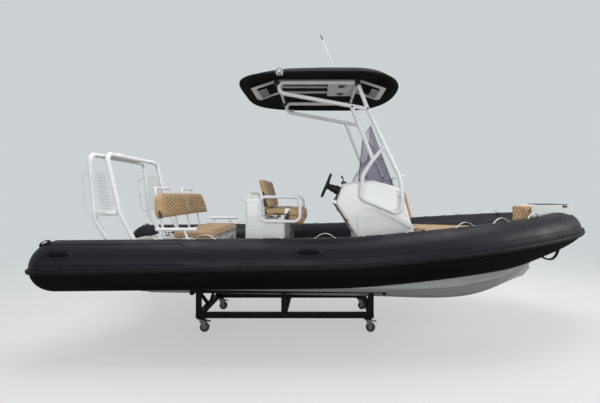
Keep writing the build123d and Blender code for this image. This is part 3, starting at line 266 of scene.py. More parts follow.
helmBlack = makeFinish("helmBlack", "helm_black", (0.010, 0.010, 0.011), (0.02, 0.02, 0.021), (30, 5), 0.42,
                       (60, 4, 0.35, 0.55), specular=0.35)
relief(helmBlack, cellValue(helmBlack, 900), 0.0004, 0.35)
webbing = makeFinish("webbing", "strap_white", (0.72, 0.72, 0.70), (0.60, 0.60, 0.58), (40, 5), 0.75,
                     sheen=0.2)
relief(webbing, waveValue(webbing, 420, "DIAGONAL"), 0.0006, 0.6)
cradlePaint = makeFinish("cradlePaint", "cradle_black", (0.004, 0.004, 0.0045), (0.010, 0.0095, 0.009),
                         (14, 8), 0.5, (30, 6, 0.35, 0.6), ((300, 3, 0.0005, 0.4),), (0.5, 0.75),
                         specular=0.12)
zincSteel = makeFinish("zincSteel", "caster_steel", (0.20, 0.20, 0.205), (0.26, 0.26, 0.27), (60, 6), 0.35,
                       (90, 5, 0.25, 0.5), metallic=1.0)
wheelRubber = makeFinish("wheelRubber", "caster_rubber", (0.035, 0.012, 0.012), (0.06, 0.04, 0.035),
                         (50, 6), 0.5, (90, 5, 0.4, 0.65), ((500, 3, 0.0005, 0.4),))
lampPlastic = makeFinish("lampPlastic", "lamp_white", (0.78, 0.79, 0.79), (0.70, 0.71, 0.71), (25, 5), 0.22,
                         (50, 4, 0.16, 0.32), coat=0.4)

# finishes of the trim that the scene adds
gripBlack = newFinish("gripBlack", "strake_rubber", (0.0016, 0.0017, 0.0020), 0.6, specular=0.1)
roughness(gripBlack, noiseValue(gripBlack, 60, 3), 0.5, 0.7)
threadFinish = makeFinish("thread", "seat_tan", (0.30, 0.19, 0.10), (0.22, 0.13, 0.065), (200, 2), 0.7,
                          specular=0.2)
clampFinish = makeFinish("clampDark", "helm_black", (0.012, 0.012, 0.013), (0.022, 0.022, 0.023), (50, 5),
                         0.45, (70, 4, 0.35, 0.6), metallic=0.3)
greyGrip = makeFinish("greyGrip", "deck_grey", (0.13, 0.135, 0.14), (0.20, 0.205, 0.21), (40, 5), 0.7)
relief(greyGrip, cellValue(greyGrip, 160), 0.002, 0.8)
# grey for the slot lips of the white arch panels: painted shade under each slot
slotLipPaintedShade = newFinish("slotLipPaintedShade", "frame_white", (0.52, 0.53, 0.54), 0.5)
roughness(slotLipPaintedShade, noiseValue(slotLipPaintedShade, 60, 3), 0.42, 0.6)
greyBlack = makeFinish("greyBlack", "helm_black", (0.016, 0.016, 0.018), (0.035, 0.035, 0.037), (60, 5), 0.7)
relief(greyBlack, cellValue(greyBlack, 240), 0.0015, 0.8)

for part in frame["record"]["subparts"]:
    mesh = nodes[part["node"]].data
    mesh.materials.clear()
    mesh.materials.append(finishOf[part["material_slot"]])
print("finishes made")

floorMesh = bpy.data.meshes.new("studioFloor")
floorMesh.from_pydata([(-40, -40, -0.001), (40, -40, -0.001), (40, 40, -0.001), (-40, 40, -0.001)], [],
                      [(0, 1, 2, 3)])
floor = bpy.data.objects.new("studioFloor", floorMesh)
scene.collection.objects.link(floor)
floorFinish = newFinish("studioFloor", None, room["floor"], 0.6)
floorMesh.materials.append(floorFinish)
# the floor fades into the backdrop with distance from the boat
tree = floorFinish.node_tree
reach = tree.nodes.new("ShaderNodeVectorMath")
reach.operation = "LENGTH"
tree.links.new(coords(floorFinish), reach.inputs[0])
clear = tree.nodes.new("ShaderNodeBsdfTransparent")
blend = tree.nodes.new("ShaderNodeMixShader")
tree.links.new(spread(floorFinish, reach.outputs["Value"], 0, 1, room["fadeFrom"], room["fadeTo"]),
               blend.inputs[0])
tree.links.new(tree.nodes["Principled BSDF"].outputs[0], blend.inputs[1])
# it shows brighter than it lights the boat
glow = tree.nodes.new("ShaderNodeMapRange")
glow.inputs["To Min"].default_value = room["floorGlow"]
glow.inputs["To Max"].default_value = room["floorShown"]
seen = tree.nodes.new("ShaderNodeLightPath")
tree.links.new(seen.outputs["Is Camera Ray"], glow.inputs["Value"])
tree.nodes["Principled BSDF"].inputs["Emission Color"].default_value = (1, 1, 1, 1)
tone = tree.nodes.new("ShaderNodeMapRange")
tone.inputs["To Min"].default_value = room["floorBounce"]
tone.inputs["To Max"].default_value = room["floor"][0]
tree.links.new(seen.outputs["Is Camera Ray"], tone.inputs["Value"])
tree.links.new(tone.outputs["Result"], tree.nodes["Principled BSDF"].inputs["Base Color"])
tree.links.new(glow.outputs["Result"], tree.nodes["Principled BSDF"].inputs["Emission Strength"])
tree.links.new(clear.outputs[0], blend.inputs[2])
tree.links.new(blend.outputs[0], tree.nodes["Material Output"].inputs["Surface"])


def placePiece(name, mesh, finish, body="boat"):
    # hangs a finished mesh on its body, in the slot of its finish
    mesh.materials.clear()
    mesh.materials.append(finish)
    piece = bpy.data.objects.new(name, mesh)
    scene.collection.objects.link(piece)
    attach(piece, body)
    return piece


def addPiece(name, form, finish, body="boat", crisp=None, thick=None):
    # crisp is the angle from which edges stay sharp; thick closes an open skin underneath
    mesh = bpy.data.meshes.new(name)
    mesh.from_pydata([tuple(v) for v in form[0]], [], form[1])
    work = bmesh.new()
    work.from_mesh(mesh)
    bmesh.ops.remove_doubles(work, verts=work.verts, dist=0.00002)
    bmesh.ops.recalc_face_normals(work, faces=work.faces)
    if thick:
        bmesh.ops.solidify(work, geom=work.faces[:], thickness=thick)
        bmesh.ops.recalc_face_normals(work, faces=work.faces)
    work.to_mesh(mesh)
    work.free()
    for face in mesh.polygons:
        face.use_smooth = True
    piece = placePiece(name, mesh, finish, body)
    return sharpen(piece, crisp) if crisp else piece


def sharpen(piece, degrees=35):
    # keep hard corners crisp on a smooth-shaded piece
    work = bmesh.new()
    work.from_mesh(piece.data)
    for edge in work.edges:
        if len(edge.link_faces) == 2 and edge.calc_face_angle(0) > math.radians(degrees):
            edge.smooth = False
    work.to_mesh(piece.data)
    work.free()
    return piece


def roundCorners(points, radius, steps=6):
    # a path whose corners become arcs; radius may be one number or one for each corner
    pts = [Vector(p) for p in points]
    out = [pts[0]]
    for i in range(1, len(pts) - 1):
        r = radius[i - 1] if isinstance(radius, (list, tuple)) else radius
        a, b = (pts[i - 1] - pts[i]).normalized(), (pts[i + 1] - pts[i]).normalized()
        half = a.angle(b) / 2
        if half > math.pi / 2 - 0.01 or r <= 0:
            out.append(pts[i])
            continue
        cut = min(r / math.tan(half), 0.49 * (pts[i - 1] - pts[i]).length,
                  0.49 * (pts[i + 1] - pts[i]).length)
        r = cut * math.tan(half)
        middle = pts[i] + (a + b).normalized() * (r / math.sin(half))
        start, end = pts[i] + a * cut - middle, pts[i] + b * cut - middle
        turn = start.angle(end)
        for k in range(steps + 1):
            t = k / steps
            out.append(middle + (start * math.sin((1 - t) * turn) + end * math.sin(t * turn))
                       / math.sin(turn))
    out.append(pts[-1])
    return out


def ringFaces(faces, base, rings, n, first=False, last=False, loop=False):
    # four-sided faces between rings of n points, with a flat cap at either end
    for i in range(rings if loop else rings - 1):
        a, b = base + i * n, base + (i + 1) % rings * n
        faces += [(a + j, a + (j + 1) % n, b + (j + 1) % n, b + j) for j in range(n)]
    if first:
        faces.append(tuple(range(base, base + n)))
    if last:
        faces.append(tuple(reversed(range(base + (rings - 1) * n, base + rings * n))))


def sweepMesh(form, path, profile, side=None, closed=False, scale=None):
    # carries a profile of (across, up) points along a path; side is the across direction to keep to
    verts, faces = form
    base, n = len(verts), len(path)
    across = None
    for i, point in enumerate(path):
        before = path[i - 1] if i or closed else path[0]
        after = path[(i + 1) % n] if i < n - 1 or closed else path[-1]
        ahead = (Vector(after) - Vector(before)).normalized()
        if side is not None:
            across = Vector(side) - ahead * ahead.dot(Vector(side))
        elif across is None:
            across = ahead.cross(toSky)
            if across.length < 0.05:
                across = ahead.cross(toBow)
        else:
            across = across - ahead * ahead.dot(across)
        across = across.normalized()
        up = across.cross(ahead).normalized()
        k = scale(i / (n - 1)) if scale else 1.0
        verts += [Vector(point) + across * (a * k) + up * (b * k) for a, b in profile]
    ringFaces(faces, base, n, len(profile), not closed, not closed, closed)
    return form


def plainMesh(source):
    # the evaluated mesh of an object, as a new plain mesh
    graph = bpy.context.evaluated_depsgraph_get()
    return bpy.data.meshes.new_from_object(source.evaluated_get(graph))


def circle(radius, count=12):
    return [(radius * math.cos(2 * math.pi * k / count), radius * math.sin(2 * math.pi * k / count))
            for k in range(count)]


def flat(width, thick, edge=0.3):
    w, t, e = width / 2, thick / 2, thick * edge
    return [(-w, -t + e), (-w + e, -t), (w - e, -t), (w, -t + e), (w, t - e), (w - e, t), (-w + e, t),
            (-w, t - e)]


collar = {
    "radius": 0.265, "side": 0.988, "aftX": -2.957, "bendX": -0.200, "turnX": 0.335, "aftZ": 0.908,
    "slopeAft": 0.55, "slopeBow": 4.66, "longArc": 4.374, "longTurn": 30.0, "shortArc": 1.285,
    "cone": 0.250, "coneTip": 0.030, "coneFull": 2.1, "around": 96, "step": 0.035,
    "cutX": 2.109, "cutZ": 0.858, "cutSlope": 0.2165, "cutEase": 0.10,
}


def collarLine():
    # centre line of the starboard tube from the stern to the nose: (point, heading, outboard, up)
    c = collar
    q, p = math.radians(c["slopeAft"]), math.radians(c["slopeBow"])
    runLength = (c["bendX"] - c["aftX"]) / math.cos(q)
    rise = (c["turnX"] - c["bendX"]) / (math.sin(p) - math.sin(q))
    start = Vector((c["aftX"], -c["side"], c["aftZ"]))
    line = []
    ahead, up = Vector((math.cos(q), 0, math.sin(q))), Vector((-math.sin(q), 0, math.cos(q)))
    count = int(runLength / c["step"])
    for i in range(count):
        line.append((start + ahead * (runLength * i / count), ahead.copy(), -toPort, up.copy()))
    bend = start + ahead * runLength
    pivot = bend + up * rise
    count = int(rise * (p - q) / c["step"])
    for i in range(count):
        a = q + (p - q) * i / count
        line.append((pivot + Vector((math.sin(a), 0, -math.cos(a))) * rise,
                     Vector((math.cos(a), 0, math.sin(a))), -toPort,
                     Vector((-math.sin(a), 0, math.cos(a)))))
    turn = pivot + Vector((math.sin(p), 0, -math.cos(p))) * rise
    along, above, port = (Vector((math.cos(p), 0, math.sin(p))), Vector((-math.sin(p), 0, math.cos(p))),
                          toPort)
    a1 = math.radians(c["longTurn"])
    a2 = math.acos(math.cos(a1) - (c["side"] - c["longArc"] * (1 - math.cos(a1))) / c["shortArc"])
    count = int(c["longArc"] * a1 / c["step"])
    for i in range(count):
        a = a1 * i / count
        line.append((turn + along * (c["longArc"] * math.sin(a)) + port * (c["longArc"] * (1 - math.cos(a))),
                     along * math.cos(a) + port * math.sin(a), along * math.sin(a) - port * math.cos(a),
                     above))
    second = turn + along * (c["longArc"] * math.sin(a1)) + port * (c["longArc"] * (1 - math.cos(a1)))
    count = int(c["shortArc"] * (a2 - a1) / c["step"])
    for i in range(count + 1):
        a = a1 + (a2 - a1) * i / count
        line.append((second + along * (c["shortArc"] * (math.sin(a) - math.sin(a1)))
                     + port * (c["shortArc"] * (math.cos(a1) - math.cos(a))),
                     along * math.cos(a) + port * math.sin(a), along * math.sin(a) - port * math.cos(a),
                     above))
    return line


centreLine = collarLine()
runs = [0.0]
for one, two in zip(centreLine, centreLine[1:]):
    runs.append(runs[-1] + (two[0] - one[0]).length)
collarLength = runs[-1]


def coneRadius(d):
    # radius of the stern cone d aft of the end of the tube
    t = min(max(d / collar["cone"], 0), 1)
    return collar["coneTip"] + ((collar["radius"] - collar["coneTip"])
                                * math.sqrt(1 - t ** collar["coneFull"]))


def flatten(x, axisZ):
    # how far the lower half of a section is squashed, so that the nose's underside slopes up
    k = collar
    t = (axisZ - (k["cutZ"] + k["cutSlope"] * (x - k["cutX"]))) / k["radius"]
    e = k["cutEase"]
    if t > 1 + e:
        return 1.0
    return t if t < 1 - e else 1 - (1 + e - t) ** 2 / (4 * e)


def station(s):
    # place on the starboard centre line s metres from the aft end of the tube, and the tube's radius there
    if s < 0:
        point, ahead, out, up = centreLine[0]
        return point + ahead * s, ahead, out, up, coneRadius(-s)
    i = min(max(k for k in range(len(runs)) if runs[k] <= s + 1e-9), len(runs) - 2)
    t = (s - runs[i]) / (runs[i + 1] - runs[i])
    one, two = centreLine[i], centreLine[i + 1]
    return (one[0].lerp(two[0], t), one[1].lerp(two[1], t).normalized(), one[2].lerp(two[2], t).normalized(),
            one[3].lerp(two[3], t).normalized(), collar["radius"])


def onCollar(s, angle, height=0.0, hand=-1):
    # a point on the collar's skin: angle 0 is straight out, 90 straight up; hand -1 is starboard
    point, ahead, out, up, radius = station(s)
    a = math.radians(angle)
    spot = point + (out * math.cos(a) + up * math.sin(a)) * (radius + height)
    if math.sin(a) < 0:
        spot += up * ((flatten(spot.x, point.z) - 1) * math.sin(a) * (radius + height))
    if spot.y > 0 and ahead.y > 0.01:
        spot = spot - ahead * (spot.y / ahead.y)
    return Vector((spot.x, spot.y if hand < 0 else -spot.y, spot.z))


def sAt(x):
    # distance along the tube for a given X
    low, high = -collar["cone"], collarLength
    for step in range(40):
        mid = (low + high) / 2
        low, high = (mid, high) if station(mid)[0].x < x else (low, mid)
    return low


def collarSkin():
    form = verts, faces = [], []
    n = collar["around"]
    steps = [-collar["cone"] * math.sin(math.pi / 2 * (1 - k / 12))
             for k in range(12)] + runs[:-1:2] + [collarLength]
    for hand in (-1, 1):
        base = len(verts)
        for s in steps:
            verts += [onCollar(s, 360.0 * j / n, 0, hand) for j in range(n)]
        point, ahead, out, up, radius = station(collarLength)
        last = len(verts) - n
        for j in range(n):      # mitre the nose at the boat's middle
            a = 2 * math.pi * j / n
            spot = point + (out * math.cos(a) + up * math.sin(a)) * radius
            spot = spot - ahead * (spot.y / ahead.y)
            if math.sin(a) < 0:
                spot += up * ((flatten(spot.x, point.z) - 1) * math.sin(a) * radius)
            verts[last + j] = Vector((spot.x, 0, spot.z))
        ringFaces(faces, base, len(steps), n, first=True)
    piece = addPiece("collarSkin", form, collarFabric)
    # the lower half, from the strake down, takes a darker copy of the cloth: painted shade on the underside
    piece.data.materials.append(collarUnderPaintedShade)
    for face in piece.data.polygons:
        middle = face.center
        s = sAt(min(middle.x, 3.2)) if abs(middle.y) > 0.75 and middle.x < 1.5 else None
        if s is not None:
            axis = station(s)[0]
        else:
            axis = min((row[0] for row in centreLine),
                       key=lambda c: (c.x - middle.x) ** 2 + (abs(c.y) - abs(middle.y)) ** 2)
        face.material_index = 1 if middle.z < axis.z else 0
    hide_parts("tubes")
    return piece


collarSkin()


def collarStrip(form, sList, low, high, height, hand, sink=0.004, columns=6, rim=1):
    # a thin pad glued on the collar between two angles, which may change along it
    verts, faces = form
    base, n = len(verts), columns + 1
    for i, s in enumerate(sList):
        lo, hi = low(s), high(s)
        edgeRow = i < rim or i >= len(sList) - rim
        for j in range(n):
            edge = j == 0 or j == n - 1 or edgeRow
            verts.append(onCollar(s, lo + (hi - lo) * j / columns, -sink if edge else height, hand))
    for i in range(len(sList) - 1):
        for j in range(columns):
            a = base + i * n + j
            faces.append((a, a + 1, a + n + 1, a + n))


def openPiece(name, form, finish, thick=0.003):
    # a glued pad: its skin is closed underneath
    return addPiece(name, form, finish, thick=thick)


pad = {"topAngle": 62.0, "footAngle": 7.0, "frontAngle": 21.0, "raise": 0.0045, "tape": 0.0016,
       "bead": 0.0042}


def smoothStep(t):
    t = min(max(t, 0), 1)
    return t * t * (3 - 2 * t)


def sternPads():
    form = [], []
    beads = [], []
    foot, head = sAt(-1.66), sAt(-1.44)

    def top(s):
        share = smoothStep((s - foot) / (head - foot))
        return pad["topAngle"] + (pad["frontAngle"] - pad["topAngle"]) * share

    aft = -0.10
    sList = [aft, aft + 0.006] + [aft + 0.03 + (head + 0.02 - aft) * k / 70 for k in range(71)]
    sList += [head + 0.08, head + 0.086]
    for hand in (-1, 1):
        collarStrip(form, sList, lambda s: pad["footAngle"], top, pad["raise"], hand, columns=20)
        # its welted edge runs on forward as a line above the strake
        edge = [onCollar(s, top(s), pad["raise"] * 0.5, hand) for s in sList[1:-2]]
        forward = [head + 0.1 + (collarLength - head - 0.12) * k / 80 for k in range(81)]
        edge += [onCollar(s, top(s), 0.001, hand) for s in forward]
        sweepMesh(beads, edge, circle(pad["bead"], 8), side=(0, 0, 1))
    addPiece("padWelts", beads, collarFabric)
    return openPiece("sternPads", form, collarFabric)


sternPads()


def seamTapes():
    # glued tapes along the inboard side, and round the foot of each cone
    form = [], []
    for hand in (-1, 1):
        long = [0.02 + (collarLength - 0.04) * k / 110 for k in range(111)]
        collarStrip(form, long, lambda s: 122.0, lambda s: 130.0, pad["tape"], hand, columns=4)
        for s in (-0.015, 1.93, 3.62):
            around = [s - 0.022, s - 0.021, s, s + 0.021, s + 0.022]
            low = 66.0 if s < 1.5 else 95.0
            collarStrip(form, around, lambda s: low, lambda s: 178.0, pad["tape"], hand, columns=40)
    return openPiece("seamTapes", form, collarFabric)


seamTapes()
print("collar made")

hull = {
    # station x, keel z, chine y, chine z, shoulder y, shoulder z
    "stations": ((-2.600, 0.490, 0.770, 0.650, 0.800, 0.775), (-2.450, 0.358, 0.775, 0.640, 0.800, 0.775),
                 (-1.000, 0.335, 0.780, 0.625, 0.800, 0.775), (0.600, 0.305, 0.765, 0.606, 0.800, 0.775),
                 (1.260, 0.287, 0.690, 0.614, 0.770, 0.790), (1.660, 0.308, 0.560, 0.640, 0.690, 0.860),
                 (1.960, 0.375, 0.430, 0.672, 0.590, 0.915), (2.220, 0.487, 0.290, 0.738, 0.460, 0.965),
                 (2.430, 0.620, 0.165, 0.820, 0.330, 1.005), (2.620, 0.800, 0.060, 0.920, 0.190, 1.040)),
    "rail": 0.016, "railDrop": 0.010, "strakes": (0.36, 0.68), "strakeOut": 0.011, "steps": 9,
    "plate": ((2.120, 0.440), (2.350, 0.545), (2.430, 0.574), (2.475, 0.590), (2.560, 0.690),
              (2.545, 0.730), (2.480, 0.760), (2.300, 0.700)),
    "holes": ((2.466, 0.628), (2.520, 0.684)), "holeR": 0.013, "plateT": 0.022,
}


def hullRow(t):
    # a station's values, smoothed along the boat; the two aft stations stay a straight step
    rows = hull["stations"]
    i = min(int(t), len(rows) - 2)
    f = t - i
    if i < 2:
        return [a + (b - a) * f for a, b in zip(rows[i], rows[i + 1])]
    a, b, c, d = rows[max(i - 1, 2)], rows[i], rows[i + 1], rows[min(i + 2, len(rows) - 1)]
    out = []
    for k in range(6):
        back = (c[k] - a[k]) * (c[0] - b[0]) / max(c[0] - a[0], 1e-6)
        fore = (d[k] - b[k]) * (c[0] - b[0]) / max(d[0] - b[0], 1e-6)
        h = f * f
        out.append((2 * h * f - 3 * h + 1) * b[k] + (h * f - 2 * h + f) * back + (3 * h - 2 * h * f) * c[k]
                   + (h * f - h) * fore)
    return out


def hullSection(row):
    # half section from keel to shoulder, with two lifting strakes and a chine rail
    x, keelZ, chineY, chineZ, shoulderY, shoulderZ = row
    share = min(1.0, max(0.0, (chineY - 0.06) / 0.35))
    slope = (chineZ - keelZ) / chineY
    half = [(0.0, keelZ)]
    for at in hull["strakes"]:
        y = chineY * at
        out = hull["strakeOut"] * share
        half += [(y, keelZ + slope * y), (y + 0.004, keelZ + slope * y - out),
                 (y + 0.030 * share + 0.004, keelZ + slope * (y + 0.030 * share) - out * 0.25),
                 (y + 0.034 * share + 0.006, keelZ + slope * (y + 0.036 * share))]
    rail, drop = hull["rail"] * share, hull["railDrop"] * share
    half += [(chineY - 0.034 * share - 0.002, chineZ - slope * (0.034 * share + 0.002)),
             (chineY - 0.030 * share, chineZ - slope * 0.030 * share - drop),
             (chineY + rail * 0.6, chineZ - drop), (chineY + rail, chineZ - drop * 0.2),
             (chineY + rail * 0.2 + 0.001, chineZ + 0.006)]
    for k in range(1, 7):
        t = k / 6
        bow = 0.010 * math.sin(math.pi * t) * share
        half.append((chineY + (shoulderY - chineY) * t + bow,
                     chineZ + 0.006 + (shoulderZ - chineZ - 0.006) * t))
    return [Vector((x, y, z)) for y, z in half]


def makeHull():
    form = verts, faces = [], []
    rows = []
    for i in range(len(hull["stations"]) - 1):
        steps = 2 if i == 0 else (6 if i < 3 else hull["steps"])
        rows += [i + k / steps for k in range(steps)]
    rows.append(len(hull["stations"]) - 1)
    for t in rows:
        half = hullSection(hullRow(t))
        ring = half + [Vector((v.x, -v.y, v.z)) for v in reversed(half[1:])]
        n = len(ring)
        verts += ring
    ringFaces(faces, 0, len(rows), n, True, True)
    shell = addPiece("hullShell", form, hullPaint, crisp=22)
    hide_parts("hull")
    # towing plate at the foot of the stem, with its two eyes
    curve = bpy.data.curves.new("stemPlate", "CURVE")
    curve.dimensions = "2D"
    curve.fill_mode = "BOTH"
    curve.extrude = hull["plateT"] / 2 - 0.002
    curve.bevel_depth = 0.002
    curve.bevel_resolution = 2
    outline = [Vector((x, z, 0)) for x, z in hull["plate"]]
    rings = [outline]
    rings += [[Vector((x + hull["holeR"] * math.cos(2 * math.pi * k / 28),
                       z + hull["holeR"] * math.sin(2 * math.pi * k / 28), 0)) for k in range(28)]
              for x, z in hull["holes"]]
    for ring in rings:
        spline = curve.splines.new("POLY")
        spline.points.add(len(ring) - 1)
        for point, spot in zip(spline.points, ring):
            point.co = (*spot, 1)
        spline.use_cyclic_u = True
    holder = bpy.data.objects.new("stemPlateCurve", curve)
    scene.collection.objects.link(holder)
    made = plainMesh(holder)
    bpy.data.objects.remove(holder)
    made.transform(Matrix.Rotation(math.radians(90), 4, "X"))
    placePiece("stemPlate", made, hullPaint)


makeHull()
print("hull made")

strake = {"drop": 0.024, "out": 0.0255, "half": 0.025, "edge": 0.0095, "groove": 0.0030, "sink": 0.006}


def strakeStation(s):
    # the band leaves the collar's waist towards the stern
    point, ahead, out, up, radius = station(s)
    fall = strake["drop"] * (1 - smoothStep(min(max((s + 0.3) / 3.2, 0), 1)))
    a = math.asin(min(0.5, fall / radius))
    return point, ahead, out * math.cos(a) - up * math.sin(a), up * math.cos(a) + out * math.sin(a), radius


def strakeBand():
    k = strake
    profile = [(-k["sink"], -k["half"]), (k["out"] * 0.75, -k["half"] * 0.78), (k["out"], -k["edge"]),
               (k["out"], -k["edge"] * 0.55), (k["out"] - k["groove"], -k["edge"] * 0.3),
               (k["out"] - k["groove"], k["edge"] * 0.3), (k["out"], k["edge"] * 0.55),
               (k["out"], k["edge"]), (k["out"] * 0.75, k["half"] * 0.78), (-k["sink"], k["half"])]
    form = verts, faces = [], []
    for hand in (-1, 1):
        base = len(verts)
        tip = collar["cone"] - 0.002
        sList = [-tip * math.sin(math.pi / 2 * (1 - j / 16)) for j in range(16)] + runs[:-1] + [collarLength]
        for s in sList:
            point, ahead, out, up, radius = strakeStation(s)
            if s < 0:      # the band follows the cone round to its tip
                d = -s
                slope = (coneRadius(min(d + 0.002, tip))
                         - coneRadius(max(d - 0.002, 0))) / 0.004 if d > 0.004 else 0
                normal = (out * 1.0 + ahead * slope).normalized()
            else:
                normal = out
            skin = point + out * radius
            for a, b in profile:
                spot = skin + normal * a + up * b
                if s >= collarLength - 1e-6:
                    spot = spot - ahead * (spot.y / ahead.y)
                verts.append(Vector((spot.x, spot.y if hand < 0 else -spot.y, spot.z)))
        ringFaces(faces, base, len(sList), len(profile), first=True)
    piece = addPiece("strakeBand", form, ribbedRubber, crisp=30)
    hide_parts("rub_strake")
    return piece


strakeBand()


strakeCap = {"long": 0.0255, "wide": 0.056}


def strakeTips():
    # rounded caps where the band meets the cone's end
    form = verts, faces = [], []
    for hand in (-1, 1):
        point, ahead, out, up = station(-collar["cone"])[:4]
        point = point - up * (strake["drop"] * 0.9)
        base, rings, around = len(verts), 8, 20
        for i in range(rings + 1):
            a = math.pi / 2 * i / rings
            for j in range(around):
                b = 2 * math.pi * j / around
                r = strakeCap["wide"] * math.cos(a)
                spot = point - ahead * (strakeCap["long"] * math.sin(a)) + out * (r * math.cos(b))
                spot = spot + up * (0.5 * r * math.sin(b))
                verts.append(Vector((spot.x, spot.y if hand < 0 else -spot.y, spot.z)))
        ringFaces(faces, base, rings + 1, around, first=True)
    return addPiece("strakeTips", form, ribbedRubber)


strakeTips()


def ovalPad(form, s, angle, halfLong, halfHigh, height, hand, rings=6, around=36, dish=None):
    # an oval moulding on the skin; dish gives its height from middle (0) to rim (1)
    verts, faces = form
    base = len(verts)
    perRadian = math.degrees(1.0 / collar["radius"])
    for i in range(rings + 1):
        t = i / rings
        h = dish(t) if dish else height * math.sqrt(max(0.0, 1 - t ** 4)) - (0.003 if i == rings else 0)
        for j in range(around):
            b = 2 * math.pi * j / around
            verts.append(onCollar(s + halfLong * t * math.cos(b),
                                  angle + halfHigh * t * math.sin(b) * perRadian, h, hand))
    ringFaces(faces, base, rings + 1, around)


grips = {"x": (-2.822, -0.337), "angle": 32.0, "long": 0.150, "high": 0.052, "bar": 0.120, "barHigh": 0.026}


def gripMouldings():
    form = [], []
    bars = [], []
    k = grips
    for hand in (-1, 1):
        for x in k["x"]:
            s = sAt(x)
            ovalPad(form, s, k["angle"], k["long"], k["high"], 0, hand, rings=8,
                    dish=lambda t: 0.0055 + 0.0085 * math.exp(-((t - 0.90) / 0.07) ** 2)
                    - (0.009 if t > 0.99 else 0))
            ovalPad(bars, s, k["angle"] + 1.0, k["bar"], k["barHigh"], 0.020, hand)
    openPiece("gripDishes", form, collarFabric)
    return openPiece("gripBars", bars, gripBlack)


gripMouldings()

straps = {"x": (-1.422, -0.726, -0.162, 0.360, 0.817, 1.360, 1.815, 2.306), "angle": 84.0, "span": 0.195,
          "rise": 0.048, "width": 0.026, "thick": 0.004, "patchLong": 0.042, "patchHigh": 0.030}


def strapLoops():
    form = [], []
    patches = [], []
    k = straps
    for hand in (-1, 1):
        for x in k["x"]:
            s = sAt(x)
            half = k["span"] / 2
            path = []
            for i in range(25):
                t = -1 + 2 * i / 24
                lift = k["rise"] * max(0.0, math.cos(t * math.pi / 2)) ** 0.75
                path.append(onCollar(s + half * t, k["angle"], 0.003 + lift, hand))
            ends = ([onCollar(s - half - 0.022, k["angle"], 0.002, hand)],
                    [onCollar(s + half + 0.022, k["angle"], 0.002, hand)])
            sweepMesh(form, ends[0] + path + ends[1], flat(k["width"], k["thick"]), side=(0, 1, 0))
            for end in (-1, 1):
                ovalPad(patches, s + end * (half + 0.010), k["angle"], k["patchLong"], k["patchHigh"],
                        0.0035, hand, rings=4, around=24)
    piece = addPiece("strapLoops", form, webbing, crisp=40)
    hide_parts("grab_straps")
    openPiece("strapPatches", patches, collarFabric)


strapLoops()
print("collar fittings made")

cushions = {"inset": 0.003, "pressure": 4.0, "frames": 20, "cap": 0.010, "ease": 3}
# each pad: body, slackness, faces to quilt as (direction, across, up, cell width, cell height, panels)
padList = {
    "bench_back": {"body": "boat", "fill": 0.75, "voxel": 0.012,
                   "quilt": [((0.98, 0, 0.2), (0, 1, 0), (-0.2, 0, 0.98), 0.108, 0.049,
                              [(-0.66, -0.055, 0.055, 0.250), (0.075, 0.67, 0.055, 0.250)])]},
    "bow_back": {"body": "boat", "fill": 0.8, "voxel": 0.008,
                 "quilt": [((-1, 0, 0), (0, 1, 0), (0, 0, 1), 0.085, 0.085, [(-0.115, 0.115, 0.035, 0.190)]),
                           ((0, -1, 0), (1, 0, 0), (0, 0, 1), 0.085, 0.085, [(-0.032, 0.032, 0.03, 0.195)]),
                           ((0, 1, 0), (1, 0, 0), (0, 0, 1), 0.085, 0.085, [(-0.032, 0.032, 0.03, 0.195)])]},
    "seat_back": {"body": "boat", "fill": 0.75, "voxel": 0.009, "lean": 0.11, "deep": 1.18,
                  "quilt": [((0.96, 0, 0.2), (0, 1, 0), (-0.2, 0, 0.98), 0.090, 0.055,
                             [(-0.32, -0.03, 0.07, 0.30), (0.03, 0.32, 0.07, 0.30)])]},
    "seat_cushion": {"body": "boat", "fill": 0.7, "voxel": 0.010, "tall": 0.66, "wide": 1.066,
                     "ribs": ((0, 0, 1), (0, 1, 0), 0.2)},
    "bolster": {"body": "seat_bolster", "fill": 0.8, "voxel": 0.009, "ease": 34, "tall": 1.13,
                "belt": 1.408, "ribs": ((0, 0, 1), (0, 1, 0), 0.2)},
    "bench_cushion": {"body": "bench_seat", "fill": 0.65, "voxel": 0.012,
                      "ribs": ((0, 0, 1), (0, 1, 0), 0.436)},
    "bow_cushion": {"body": "boat", "fill": 0.65, "voxel": 0.012, "ribs": ((0, 0, 1), (1, 0, 0), 0.09)},
    "console_pad": {"body": "boat", "fill": 0.7, "voxel": 0.010,
                    "quilt": [((0.93, 0, 0.36), (0, 1, 0), (-0.36, 0, 0.93), 0.085, 0.065,
                               [(-0.24, 0.24, 0.05, 0.30)])]},
}


def startPad(name, k):
    mesh = nodes[name].data.copy()
    work = bmesh.new()
    work.from_mesh(mesh)
    bmesh.ops.remove_doubles(work, verts=work.verts, dist=0.0001)
    low = Vector([min(v.co[i] for v in work.verts) for i in range(3)])
    high = Vector([max(v.co[i] for v in work.verts) for i in range(3)])
    middle, size = (low + high) / 2, high - low
    for v in work.verts:
        for i in range(3):
            v.co[i] = middle[i] + (v.co[i] - middle[i]) * (1 - 2 * cushions["inset"] / size[i])
    work.to_mesh(mesh)
    work.free()
    mesh.materials.clear()
    rough = bpy.data.objects.new(name + "Rough", mesh)
    scene.collection.objects.link(rough)
    remesh = rough.modifiers.new("remesh", "REMESH")
    remesh.mode = "VOXEL"
    remesh.voxel_size = k["voxel"]
    ease = rough.modifiers.new("ease", "SMOOTH")
    ease.factor = 0.5
    ease.iterations = k.get("ease", cushions["ease"])
    shape = plainMesh(rough)
    bpy.data.objects.remove(rough)
    blank = bpy.data.objects.new(name + "Blank", shape)
    scene.collection.objects.link(blank)
    return blank, low, high


